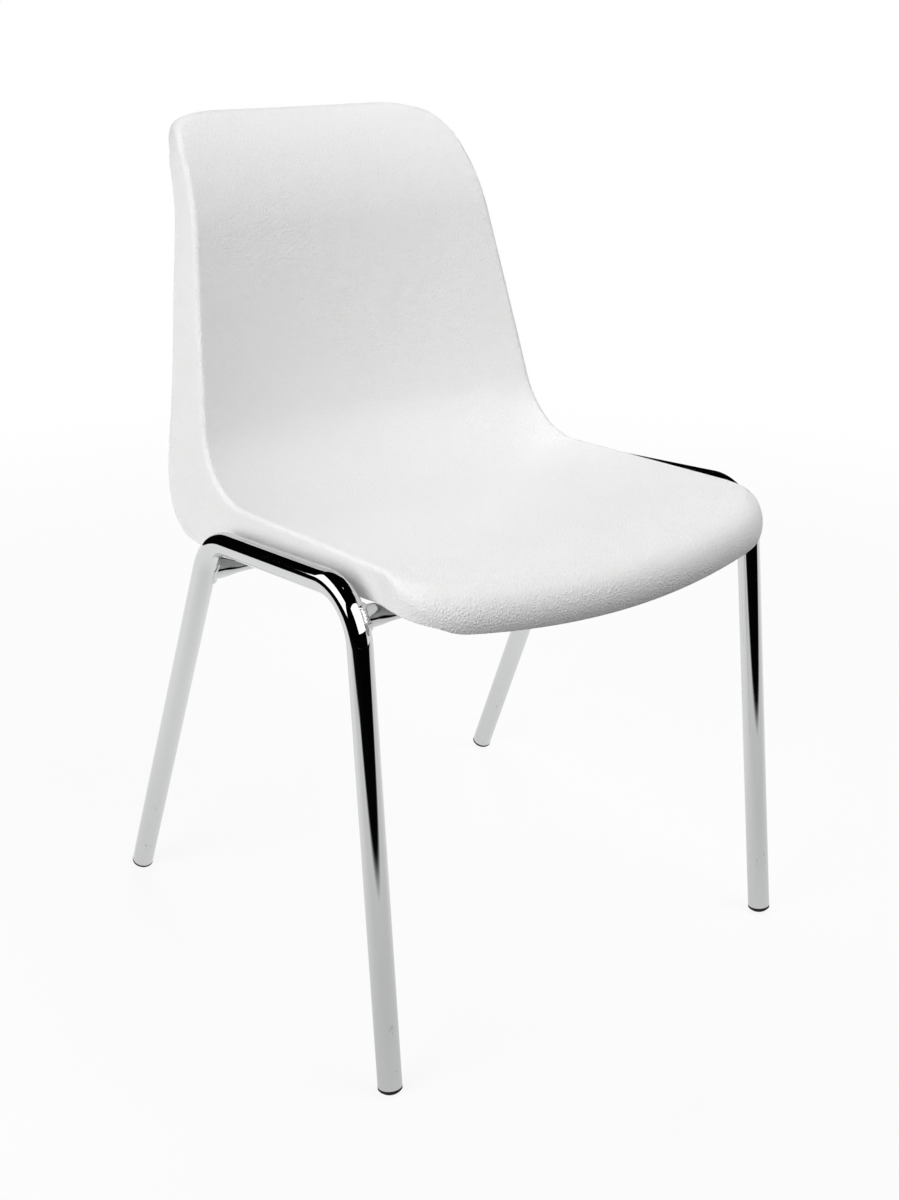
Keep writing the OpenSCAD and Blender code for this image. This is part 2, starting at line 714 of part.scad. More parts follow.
module glide(which, side) {
    foot = which == FRONT ? front_foot : rear_foot;
    up = which == FRONT ? front_down - 180 : rear_up;
    at = foot + collar_at(up) * dir(up);
    color([0.12, 0.12, 0.13]) on_side(side) difference() {
        in_frame_plane() translate([0, at[0], at[1]]) rotate([up - 90, 0, 0]) glide_form();
        translate([foot_half_w, centre_y + foot[0], -2 * tube_d]) cube(4 * tube_d, center = true);
    }
}

seat_shell();
side_frame(LEFT);  // side_frame_left
side_frame(RIGHT);  // side_frame_right
crossbar(FRONT);  // front_crossbar
crossbar(REAR);  // rear_crossbar
weld(FRONT, LEFT);  // weld_front_left
weld(FRONT, RIGHT);  // weld_front_right
weld(REAR, LEFT);  // weld_rear_left
weld(REAR, RIGHT);  // weld_rear_right
glide(FRONT, LEFT);  // glide_front_left
glide(FRONT, RIGHT);  // glide_front_right
glide(REAR, LEFT);  // glide_rear_left
glide(REAR, RIGHT);  // glide_rear_right
shell_screws();
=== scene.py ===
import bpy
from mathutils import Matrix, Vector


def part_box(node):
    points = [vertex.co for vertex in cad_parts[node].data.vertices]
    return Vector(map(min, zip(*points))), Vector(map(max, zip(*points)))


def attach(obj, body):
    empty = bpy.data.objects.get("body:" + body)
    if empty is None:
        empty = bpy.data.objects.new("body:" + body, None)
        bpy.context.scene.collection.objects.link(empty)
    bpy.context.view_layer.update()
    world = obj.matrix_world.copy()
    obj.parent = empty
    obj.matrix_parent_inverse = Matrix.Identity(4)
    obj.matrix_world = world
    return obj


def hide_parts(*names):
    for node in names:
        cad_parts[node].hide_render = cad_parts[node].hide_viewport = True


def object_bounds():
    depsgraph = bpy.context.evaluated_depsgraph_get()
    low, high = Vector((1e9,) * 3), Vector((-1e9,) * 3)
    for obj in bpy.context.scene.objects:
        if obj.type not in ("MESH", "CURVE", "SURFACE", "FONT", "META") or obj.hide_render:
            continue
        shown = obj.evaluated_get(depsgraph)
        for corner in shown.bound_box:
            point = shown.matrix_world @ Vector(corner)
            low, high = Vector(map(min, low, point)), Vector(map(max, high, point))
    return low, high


bl_info = {
    "name": "Stacking Chair",
    "version": (1, 0, 0),
    "blender": (4, 5, 0),
    "location": "3D View > Sidebar > Stacking Chair",
    "description": "Moulded stacking chair on a chromed tube frame, with its studio stage",
    "category": "Add Mesh",
}

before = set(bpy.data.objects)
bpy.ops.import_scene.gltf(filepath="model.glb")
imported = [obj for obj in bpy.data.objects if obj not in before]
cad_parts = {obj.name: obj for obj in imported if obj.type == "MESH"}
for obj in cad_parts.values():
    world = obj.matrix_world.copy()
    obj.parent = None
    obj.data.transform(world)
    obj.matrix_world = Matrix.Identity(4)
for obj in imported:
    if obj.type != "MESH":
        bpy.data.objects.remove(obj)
cad_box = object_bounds()

import math
from functools import reduce

import bmesh
import bpy
import numpy as np
from bpy.props import FloatProperty, FloatVectorProperty, PointerProperty
from bpy.types import Operator, Panel, PropertyGroup
from mathutils import Matrix, Vector

# The chair faces -Y, +X is the sitter's left and the floor is Z = 0. Values are in metres and radians, but
# length() takes millimetres, angle() takes degrees, and what is handed to radians() is in degrees.
BODY = "root"
MM = 0.001
LEFT = 1
RIGHT = -1
SIDES = {LEFT: "left", RIGHT: "right"}
FRONT = "front"
REAR = "rear"
ENDS = (FRONT, REAR)
CORNERS = [(end, side, f"{end}_{name}") for end in ENDS for side, name in SIDES.items()]


# ---- Sizes and colours that a user can change

def length(label, note, millimetres):
    return FloatProperty(
        name=label, description=note, default=millimetres * MM, precision=4, unit="LENGTH", subtype="DISTANCE"
    )


def angle(label, note, degrees):
    return FloatProperty(
        name=label, description=note, default=math.radians(degrees), unit="ROTATION", subtype="ANGLE"
    )


def share(label, note, value):
    return FloatProperty(name=label, description=note, default=value, min=0, max=1, subtype="FACTOR")


def level(label, note, value):
    return FloatProperty(name=label, description=note, default=value, min=0)


def place(label, note, metres):
    return FloatVectorProperty(
        name=label, description=note, default=metres, size=3, unit="LENGTH", subtype="TRANSLATION"
    )


def colour(label, note, rgb):
    return FloatVectorProperty(
        name=label, description=note, default=rgb, size=3, min=0, max=1, subtype="COLOR"
    )


class ShellSizes(PropertyGroup):
    """Sizes of the moulded seat and back"""

    seat_height: length("Seat height", "Height of the seat's side edges, above the middle of the feet", 455.6)
    seat_pitch: angle("Seat pitch", "Fall of the seat's side edges towards the back", 3)
    seat_front: length("Seat front", "Where the side edges start to curve down, in front of the middle", 168)
    lip_curve_r: length("Lip curve", "Radius by which the side edges curve down at the front", 140)
    lip_curve_len: length("Lip length", "Length of that curve to the middle of the front edge", 78)
    heel_y: length("Heel", "Where the lines of the seat and back edges cross, behind the middle", 103.5)
    heel_r: length("Heel bend", "Radius of the bend between seat and back", 74)
    back_recline: angle("Recline", "Lean of the back from upright", 14)
    back_len: length("Back", "Straight length of the back's edge from the crossing of the two lines", 236)
    top_curve_r: length("Top curve", "Radius by which the top of the back curls away", 160)
    top_curve_len: length("Top length", "Length of that curl", 140)

    seat_half_w: length("Half width", "Half the seat's width between its side edges", 199.5)
    back_taper: share("Back taper", "Narrowing of each side of the back per length of back", 0.142)
    taper_start: length("Taper start", "Distance past the seat's end at which the narrowing starts", 67)
    taper_soft: length("Taper ease", "Length over which the narrowing sets in", 30)
    front_corner_r: length("Front corners", "Radius of the two front corners", 48)
    top_corner_r: length("Top corners", "Radius of the two top corners", 54)
    front_bow: length("Front bow", "How far the front edge bows forward of its corners", 33)
    bow_reach: length("Bow reach", "Length of seat that takes part in the bow", 160)
    top_crown: length("Top crown", "How far the top edge rises over its corners", 7)
    crown_reach: length("Crown reach", "Length of back that takes part in the rise", 100)

    dish_front: length("Hollow at the front", "Depth of the hollow under the front edge", 0)
    dish_seat: length("Hollow of the seat", "Depth of the hollow in the seat", 14)
    dish_heel: length("Hollow at the heel", "Depth of the hollow at the bend", 26)
    dish_back: length("Hollow of the back", "Depth of the hollow in the back", 21)
    dish_top: length("Hollow at the top", "Depth of the hollow at the top edge", 5)

    wall: length("Wall", "Wall of the moulding", 4)
    edge_round: length("Edge rounding", "Rounding of the skirt's lower edge", 1.1)
    roll_side: length("Side roll", "Radius of the roll along the sides", 5)
    roll_front: length("Front roll", "Radius of the roll at the front lip", 29)
    roll_top: length("Top roll", "Radius of the roll at the top edge", 20)
    front_blend_from: angle("Front blend, start", "Turn into a front corner where its wide roll sets in", 0)
    front_blend_to: angle("Front blend, end", "Turn into a front corner where it is all of the roll", 82)
    top_blend_from: angle("Top blend, start", "Turn into a top corner where its wide roll sets in", 15)
    top_blend_to: angle("Top blend, end", "Turn into a top corner where it is all of the roll", 72)
    skirt_draft: angle("Skirt draft", "Outward lean of the skirt below the roll", 9.7)
    skirt_front: length("Skirt, front", "Depth of the skirt at the middle of the front edge", 23.5)
    skirt_corner: length("Skirt, corner", "Depth behind the front corners", 27)
    skirt_seat: length("Skirt, seat", "Depth halfway along the seat", 36)
    skirt_hip: length("Skirt, hip", "Depth at the end of the seat", 45)
    skirt_heel: length("Skirt, heel", "Depth at the heel, behind the legs", 75)
    skirt_low: length("Skirt, low back", "Depth at the foot of the back", 52)
    skirt_back: length("Skirt, back", "Depth halfway up the back", 34)
    skirt_shoulder: length("Skirt, shoulder", "Depth below the top corners", 22)
    skirt_top: length("Skirt, top", "Depth at the middle of the top edge", 11)


class FrameSizes(PropertyGroup):
    """Sizes of the bent side frames and their glides"""

    tube_d: length("Tube", "Outside diameter of the frame tube", 22)
    tube_wall: length("Tube wall", "Wall of the frame tube", 1.5)
    rail_clear: length("Rail clearance", "Room between the shell's widest point and the rail beside it", 1.5)
    rail_drop: length("Rail drop", "Height of the seat's side edges above the rail's centre line", 21.6)
    rail_pitch: angle("Rail pitch", "Rise of the rail towards the front", 5.66)
    rail_rear: length("Rear corner", "Where the lines of rail and rear leg cross, behind the middle", 57.7)
    rail_front: length("Front corner", "Where the lines of rail and front leg cross, in front of it", 176.4)
    rear_rake: angle("Rear rake", "Slope of the rear leg from upright", 22.4)
    front_rake: angle("Front rake", "Slope of the front leg from upright", 7.3)
    lean: angle("Lean", "Inward lean of the whole side frame", 1.25)
    rear_bend_r: length("Rear bend", "Bend radius of the tube's centre line at the rear", 55)
    front_bend_r: length("Front bend", "Bend radius of the tube's centre line at the front", 47)
    dome_r: length("Glide dome", "Radius of the domed underside of the glides", 14)
    dome_flat: length("Glide flat", "Depth that the dome is worn flat where it stands", 0.6)
    collar_t: length("Glide collar", "Thickness of the collar under the tube's end", 2.5)
    plug_len: length("Glide plug", "Length of the plug inside the tube", 16)


class BarSizes(PropertyGroup):
    """Sizes of the pressed crossbars, their welds and the shell's fixings"""

    bar_d: length("Bar", "Diameter of the crossbar tube before it is pressed flat", 20)
    bar_wall: length("Bar wall", "Wall of the crossbar tube", 1.5)
    flat_t: length("Pressed thickness", "Thickness of the bar where it is pressed flat", 11.5)
    round_len: length("Round end", "Length that stays round outside each side frame tube", 6)
    press_len: length("Press length", "Length over which the round turns flat", 16)
    front_turn: angle("Front joint", "Angle round the front bend, up from the leg, of the front bar", 27)
    rear_drop: length("Rear joint", "Distance of the rear bar below the end of the rear bend", 6.7)
    weld_leg: length("Weld", "Leg length of the weld around each joint", 3)
    front_screw_x: length("Front screws", "Distance of the two front screws from the chair's middle", 125)
    rear_screw_x: length("Rear screws", "Distance of the two rear screws from the chair's middle", 110)
    boss_d: length("Boss", "Diameter of the moulded bosses where they stand on the crossbars", 16)
    boss_draft: angle("Boss draft", "Slope of a boss's side", 1)
    web_t: length("Web", "Thickness of the webs that brace each boss", 2.5)
    web_start: length("Web start", "Height of a web's foot above the crossbar", 6)
    web_slope: share("Web slope", "How far a web's edge runs out for its height", 0.35)


class Finishes(PropertyGroup):
    """Colours and surface scales"""

    shell: colour("Shell", "Colour of the moulding", (0.86, 0.862, 0.858))
    shell_gloss: share("Shell roughness", "Roughness of the moulding", 0.46)
    grain: length("Grain", "Size of the pebbles of the moulding's grain", 3)
    grain_depth: length("Grain depth", "Depth that the grain's bumps are scaled to", 0.54)
    chrome: colour("Chrome", "Colour of the plating", (0.66, 0.665, 0.668))
    chrome_gloss: share("Chrome roughness", "Roughness of clean plating", 0.035)
    zinc: colour("Zinc", "Colour of the screws", (0.5, 0.5, 0.48))
    glide: colour("Glide", "Colour of the glides", (0.012, 0.012, 0.013))
    floor: colour("Floor", "Colour of the floor", (0.9, 0.9, 0.9))
    floor_lift: share("Floor lift", "How far the floor under the chair is lifted to white", 0.9)


class StageSizes(PropertyGroup):
    """Camera, lamps and reflected surroundings"""

    camera_place: place("Camera", "Place of the camera", (-0.872, -1.13496, 0.913))
    camera_turn: angle("Camera turn", "Turn of the view from +Y towards +X", 37.83)
    camera_dip: angle("Camera dip", "Dip of the view below level", 22.19)
    camera_roll: angle("Camera roll", "Roll of the view", 0.67)
    camera_lens: FloatProperty(
        name="Lens", description="Focal length on a 36 mm frame", default=46.47, unit="CAMERA"
    )
    sky: level("Sky", "Level of the even light from all round", 0.06)
    side_lamp: level("Side lamp", "Level of the low lamp on the chair's right", 5.7)
    front_lamp: level("Front lamp", "Level of the high lamp in front", 4.6)
    rear_lamp: level("Rear lamp", "Level of the high lamp behind the chair", 4.5)
    side_panel: level("Side panel", "Level of the panel on the right that the chrome mirrors", 1.7)
    front_panel: level("Front panel", "Level of the panel in front that the chrome mirrors", 1.7)
    lamp_away: length("Lamp distance", "Distance of the lamps from the middle of the chair", 2500)
    room_r: length("Room", "Radius of the dark surroundings that the chrome mirrors", 3400)
    room_h: length("Room height", "Height of the dark ceiling", 3300)
    wall_from: angle("Dark wall, start", "Where the dark wall starts, from +X towards +Y", 82)
    wall_to: angle("Dark wall, end", "Where the dark wall ends", 302)
    rear_wall_from: angle("Rear wall, start", "Where the wall behind the chair starts", 8)
    rear_wall_z: length("Rear wall", "Height over the floor at which the wall behind the chair starts", 700)
    paper_front: length("Paper, front", "Distance to the front edge of the pale floor that is mirrored", 888)
    paper_front_turn: angle("Paper front turn", "Direction of that edge from the chair", 250)
    paper_side: length("Paper, side", "Distance to its side edge, on the chair's right", 1400)
    paper_side_turn: angle("Paper side turn", "Direction of that edge from the chair", 196)
    paper_soft: length("Paper softness", "Half the width over which both edges fade", 140)
    paper_shade: share("Paper shade", "How dark the chrome mirrors the paper in front of the chair", 0.22)
    felt_shade: share("Paper bounce", "How much light that paper keeps from the shell above it", 0.8)


SIZE_GROUPS = {
    "chair_shell": ShellSizes,
    "chair_frame": FrameSizes,
    "chair_bars": BarSizes,
    "chair_finish": Finishes,
    "chair_stage": StageSizes,
}


# ---- Plane and space geometry on arrays

def heading(a):
    """Unit vector of the plane at that angle."""
    return np.stack([np.cos(a), np.sin(a)], -1)


def left_of(a):
    """Unit vector a quarter turn to the left of that angle."""
    return np.stack([-np.sin(a), np.cos(a)], -1)


def unit(v):
    return v / np.linalg.norm(v, axis=-1, keepdims=True)


def ease(t):
    t = np.clip(t, 0, 1)
    return t * t * (3 - 2 * t)


def arc(first, last, step):
    """Values from first to last, both included, about a step apart."""
    return np.linspace(first, last, max(int(math.ceil(abs(last - first) / step)), 1) + 1)


def station(table, s):
    """Smooth curve through a table of (place, value), straight beyond its ends."""
    places, values = np.array(table).T
    slopes = np.concatenate([
        (values[1:2] - values[:1]) / (places[1:2] - places[:1]),
        (values[2:] - values[:-2]) / (places[2:] - places[:-2]),
        (values[-1:] - values[-2:-1]) / (places[-1:] - places[-2:-1]),
    ])
    i = np.clip(np.searchsorted(places, s, side="right") - 1, 0, len(places) - 2)
    gap = places[i + 1] - places[i]
    u = (s - places[i]) / gap
    inside = (
        (2 * u**3 - 3 * u**2 + 1) * values[i] + (u**3 - 2 * u**2 + u) * gap * slopes[i]
        + (3 * u**2 - 2 * u**3) * values[i + 1] + (u**3 - u**2) * gap * slopes[i + 1]
    )
    before = values[0] + slopes[0] * (s - places[0])
    after = values[-1] + slopes[-1] * (s - places[-1])
    return np.where(s < places[0], before, np.where(s > places[-1], after, inside))


class ShellForm:
    """The seat shell's surfaces. Rows run along the edge line, whose length s counts from seat_front."""

    COLUMNS = 96
    ROW_STEP = 3.6 * MM
    CORNER_STEPS = 16
    ROLL_STEPS = 12
    SKIRT_STEPS = 10
    EDGE_STEPS = 4
    BLEND_POWER = 1.5
    PROBE = 0.5 * MM
    MIN_SKIRT = 2 * MM
    UNDER_STEPS = 400

    # Where the depths of hollow and skirt are met: shares of the seat, and lengths past marks of the edge
    HOLLOW_SEAT = 0.6
    SKIRT_SEAT = 0.55
    SKIRT_HIP = 12 * MM
    SKIRT_HEEL = 6 * MM
    SKIRT_LOW = 2 * MM
    SKIRT_BACK = 60 * MM

    def __init__(self, size):
        self.size = size
        pitch = size.seat_pitch
        turn = math.pi / 2 - size.back_recline + pitch
        cut = size.heel_r * math.tan(turn / 2)
        self.back_angle = turn - pitch
        self.start = np.array([-size.seat_front, size.seat_height + size.seat_front * math.tan(pitch)])
        self.s_front = -size.lip_curve_len
        self.s_bend = (size.heel_y + size.seat_front) / math.cos(pitch) - cut
        self.s_back = self.s_bend + size.heel_r * turn
        self.s_curl = self.s_back + size.back_len - cut
        self.s_top = self.s_curl + size.top_curve_len
        self.s_waist = (self.s_bend + self.s_back) / 2
        mid_back = (self.s_back + self.s_curl) / 2
        self.lip_centre = self.start - size.lip_curve_r * left_of(-pitch)
        self.heel_centre = self.start + self.s_bend * heading(-pitch) + size.heel_r * left_of(-pitch)
        self.back_start = self.heel_centre - size.heel_r * left_of(self.back_angle)
        self.curl_centre = (
            self.back_start + (self.s_curl - self.s_back) * heading(self.back_angle)
            - size.top_curve_r * left_of(self.back_angle)
        )
        self.hollow = [
            (self.s_front, size.dish_front),
            (self.HOLLOW_SEAT * self.s_bend, size.dish_seat),
            (self.s_waist, size.dish_heel),
            (mid_back, size.dish_back),
            (self.s_top, size.dish_top),
        ]
        self.skirt = [
            (self.s_front, size.skirt_front),
            (self.s_front + size.front_corner_r, size.skirt_corner),
            (self.SKIRT_SEAT * self.s_bend, size.skirt_seat),
            (self.s_bend + self.SKIRT_HIP, size.skirt_hip),
            (self.s_waist + self.SKIRT_HEEL, size.skirt_heel),
            (self.s_back + self.SKIRT_LOW, size.skirt_low),
            (mid_back + self.SKIRT_BACK, size.skirt_back),
            (self.s_top - size.top_corner_r, size.skirt_shoulder),
            (self.s_top, size.skirt_top),
        ]

    def parts(self, s):
        """Which places lie before the ends of front curve, seat, heel bend and back. The rest is the curl."""
        return [s < 0, s < self.s_bend, s < self.s_back, s < self.s_curl]

    def edge_angle(self, s):
        size = self.size
        level_part = -size.seat_pitch + 0 * s
        return np.select(
            self.parts(s),
            [
                level_part - s / size.lip_curve_r,
                level_part,
                level_part + (s - self.s_bend) / size.heel_r,
                self.back_angle + 0 * s,
            ],
            self.back_angle - (s - self.s_curl) / size.top_curve_r,
        )

    def edge_point(self, s):
        size = self.size
        side = left_of(self.edge_angle(s))
        s = s[..., None]
        return np.select(
            self.parts(s),
            [
                self.lip_centre + size.lip_curve_r * side,
                self.start + s * heading(-size.seat_pitch),
                self.heel_centre - size.heel_r * side,
                self.back_start + (s - self.s_back) * heading(self.back_angle),
            ],
            self.curl_centre + size.top_curve_r * side,
        )

    def half_w(self, s):
        size = self.size
        past = s - self.s_bend - size.taper_start
        return size.seat_half_w - size.back_taper * (past + np.sqrt(past**2 + size.taper_soft**2)) / 2

    def bent(self, x, s):
        """A row's place along the edge line, moved by the front's bow and the top's crown."""
        size = self.size
        bow = np.clip(1 - (s - self.s_front) / size.bow_reach, 0, 1) ** 2
        crown = np.clip(1 - (self.s_top - s) / size.crown_reach, 0, 1) ** 2
        return (
            s + size.front_bow * bow * (x / size.seat_half_w) ** 2
            - size.top_crown * crown * (x / self.half_w(self.s_top)) ** 2
        )

    def skin(self, x, s):
        """Point of the sitting surface."""
        e = self.bent(x, s)
        depth = station(self.hollow, e) * (1 - (x / self.half_w(e)) ** 2)
        p = self.edge_point(e) - depth[..., None] * left_of(self.edge_angle(e))
        return np.concatenate([x[..., None], p], -1)

    def skin_normal(self, x, s):
        across = self.skin(x + self.PROBE, s) - self.skin(x - self.PROBE, s)
        along = self.skin(x, s + self.PROBE) - self.skin(x, s - self.PROBE)
        return unit(np.cross(across, along))

    def wide_roll(self, s):
        """Radius of the wide roll at a border place's end of the shell, and its share of the rim's turn.

        Through a corner the share grows from the side, where the narrow roll turns all the way, so the crease
        of the narrow roll runs down past the corner and fades into the end's lower edge.
        """
        size = self.size
        front = s < self.s_waist
        corner_r = np.where(front, size.front_corner_r, size.top_corner_r)
        from_end = np.where(front, s - self.s_front, self.s_top - s)
        into = math.pi / 2 - np.arccos(1 - np.clip(from_end / corner_r, 0, 1))
        first = np.where(front, size.front_blend_from, size.top_blend_from)
        last = np.where(front, size.front_blend_to, size.top_blend_to)
        wide_share = np.clip((into - first) / (last - first), 0, 1) ** self.BLEND_POWER
        return np.where(front, size.roll_front, size.roll_top), wide_share

    def grid(self):
        """Places (x, s) of the sitting surface, with round corners at both ends."""
        size = self.size
        corner = np.linspace(0, math.pi / 2, self.CORNER_STEPS + 1)
        front = self.s_front + size.front_corner_r * (1 - np.cos(corner))
        top = self.s_top - size.top_corner_r * (1 - np.cos(corner[::-1]))
        sides = arc(front[-1], top[0], self.ROW_STEP)[1:-1]
        rows = np.concatenate([front, sides, top])
        inset = np.concatenate([
            size.front_corner_r * (1 - np.sin(corner)),
            0 * sides,
            size.top_corner_r * (1 - np.sin(corner[::-1])),
        ])
        across = np.linspace(-1, 1, self.COLUMNS + 1)
        x = (self.half_w(rows) - inset)[:, None] * across
        return x, np.repeat(rows[:, None], self.COLUMNS + 1, 1)

    def rim(self, points, normals, x, s):
        """Rings of the rolled rim, the skirt, its rounded lower edge and the way back inside."""
        size = self.size
        along = np.roll(points, -1, 0) - np.roll(points, 1, 0)
        out = unit(np.cross(along, normals))
        upright = left_of(self.edge_angle(self.bent(x, s)))
        tilt = np.arcsin(np.clip((out[:, 1:] * upright).sum(1), -1, 1))
        turn = (math.pi / 2 - size.skirt_draft + tilt)[:, None]
        wide_r, wide_share = (v[:, None] for v in self.wide_roll(s))
        narrow_r = size.roll_side + (wide_r - size.roll_side) * wide_share

        def rolled(a):
            """How far the roll has come out and down at the angle a."""
            w = np.minimum(a, wide_share * turn)
            reach = wide_r * np.sin(w) + narrow_r * (np.sin(a) - np.sin(w))
            return reach, wide_r * (1 - np.cos(w)) + narrow_r * (np.cos(w) - np.cos(a))

        depth = station(self.skirt, s)[:, None] - rolled(turn)[1]
        skirt = np.maximum(depth, self.MIN_SKIRT) / math.cos(size.skirt_draft)
        rings = []
        for k in range(1, self.ROLL_STEPS + 1):
            a = turn * k / self.ROLL_STEPS
            reach, drop = rolled(a)
            rings.append((points + reach * out - drop * normals, np.cos(a) * normals + np.sin(a) * out))
        last, facing = rings[-1]
        down = np.cos(turn) * out - np.sin(turn) * normals
        straight = skirt - size.edge_round
        for k in range(1, self.SKIRT_STEPS + 1):
            rings.append((last + down * straight * k / self.SKIRT_STEPS, facing))
        outside = [p for p, _ in rings]
        inside = [p - size.wall * n for p, n in rings]
        edge = []
        for depth_in, turns in ((size.edge_round, (0, 90)), (size.wall - size.edge_round, (90, 180))):
            centre = rings[-1][0] - depth_in * facing
            for a in np.radians(np.linspace(*turns, self.EDGE_STEPS + 1)[1:]):
                edge.append(centre + size.edge_round * (math.cos(a) * facing + math.sin(a) * down))
        return outside + edge[:-1] + inside[::-1]

    def under_side(self, x, y):
        """Height of the seat's underside over a place on the floor, from a fine row of the surface."""
        s = np.linspace(self.s_front, self.s_waist, self.UNDER_STEPS)
        row = self.skin(x + 0 * s, s) - self.size.wall * self.skin_normal(x + 0 * s, s)
        return float(np.interp(y, row[:, 1], row[:, 2]))


class FrameForm:
    """The left side frame's centre line, in its own plane as (along the chair, up the plane)."""

    BEND_STEP = math.radians(2.5)
    STRAIGHT_STEP = 12 * MM
    FACE_TRIES = 5

    def __init__(self, size, shell):
        self.size = size
        self.tube_r = size.tube_d / 2
        self.rail_half_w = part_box("seat_shell")[1].x + size.rail_clear + self.tube_r
        rail_z = shell.seat_height - size.rail_drop
        self.foot_half_w = self.rail_half_w + rail_z * math.tan(size.lean)
        rear_corner = np.array([size.rail_rear, rail_z - size.rail_rear * math.tan(size.rail_pitch)])
        front_corner = np.array([-size.rail_front, rail_z + size.rail_front * math.tan(size.rail_pitch)])
        self.foot = {
            REAR: np.array([rear_corner[0] + rear_corner[1] * math.tan(size.rear_rake), 0]),
            FRONT: np.array([front_corner[0] - front_corner[1] * math.tan(size.front_rake), 0]),
        }
        self.rear_up = math.pi / 2 + size.rear_rake
        self.forward = math.pi - size.rail_pitch
        self.front_down = 1.5 * math.pi - size.front_rake
        self.leg_up = {REAR: self.rear_up, FRONT: self.front_down - math.pi}
        rear_cut = size.rear_bend_r * math.tan((self.forward - self.rear_up) / 2)
        front_cut = size.front_bend_r * math.tan((self.front_down - self.forward) / 2)
        self.rear_bend_start = rear_corner - rear_cut * heading(self.rear_up)
        self.rear_bend_end = rear_corner + rear_cut * heading(self.forward)
        self.front_bend_start = front_corner - front_cut * heading(self.forward)
        self.front_bend_end = front_corner + front_cut * heading(self.front_down)
        self.rear_centre = self.rear_bend_start + size.rear_bend_r * left_of(self.rear_up)
        self.front_centre = self.front_bend_start + size.front_bend_r * left_of(self.forward)

    def collar_at(self, end):
        """Distance up a leg from the floor to its glide's collar."""
        size = self.size
        dome_h = size.dome_r - math.sqrt(size.dome_r**2 - self.tube_r**2)
        centre_h = size.dome_r - size.dome_flat
        slope = abs(math.sin(self.leg_up[end])) * math.cos(size.lean)
        return centre_h / slope - (size.dome_r - dome_h)

    def leg_start(self, end):
        """Distance up a leg from the floor to the tube's end, and the direction up the leg."""
        return self.collar_at(end) + self.size.collar_t, heading(self.leg_up[end])

    def centre_line(self):
        """Points and headings from the rear foot over the rail to the front foot."""
        size = self.size
        rear_start, rear_dir = self.leg_start(REAR)
        front_start, front_dir = self.leg_start(FRONT)

        def straight(a, b, toward):
            t = arc(0, np.linalg.norm(b - a), self.STRAIGHT_STEP)[:, None]
            return a + t * heading(toward), np.full(len(t), toward)

        def bend(centre, radius, first, last):
            a = arc(first, last, self.BEND_STEP)[1:-1]
            return centre - radius * left_of(a), a

        parts = [
            straight(self.foot[REAR] + rear_start * rear_dir, self.rear_bend_start, self.rear_up),
            bend(self.rear_centre, size.rear_bend_r, self.rear_up, self.forward),
            straight(self.rear_bend_end, self.front_bend_start, self.forward),
            bend(self.front_centre, size.front_bend_r, self.forward, self.front_down),
            straight(self.front_bend_end, self.foot[FRONT] + front_start * front_dir, self.front_down),
        ]
        return np.concatenate([p for p, _ in parts]), np.concatenate([a for _, a in parts])

    def placed(self, points, side):
        """Points of the plane's frame (across, along, up) as points of the chair."""
        lean = self.size.lean
        x = self.foot_half_w + points[..., 0] * math.cos(lean) - points[..., 2] * math.sin(lean)
        z = points[..., 0] * math.sin(lean) + points[..., 2] * math.cos(lean)
        return np.stack([side * x, points[..., 1], z], -1)

    def off_centre_line(self, points):
        """Distance of points of the plane from the tube's centre line."""
        line, _ = self.centre_line()
        a, step = line[:-1], line[1:] - line[:-1]
        gap = points[..., None, :] - a
        t = np.clip((gap * step).sum(-1) / (step**2).sum(-1), 0, 1)
        return np.linalg.norm(gap - t[..., None] * step, axis=-1).min(-1)

    def face_x(self, y, z, proud):
        """Distance from the chair's middle to the tube's inner face grown by proud, level with y and z."""
        lean = self.size.lean
        x = self.rail_half_w + 0 * y
        for _ in range(self.FACE_TRIES):
            up = (self.foot_half_w - x) * math.sin(lean) + z * math.cos(lean)
            off = self.off_centre_line(np.stack([y, up], -1))
            across = -np.sqrt(np.maximum((self.tube_r + proud) ** 2 - off**2, 0))
            x = self.foot_half_w + (across - z * math.sin(lean)) / math.cos(lean)
        return x


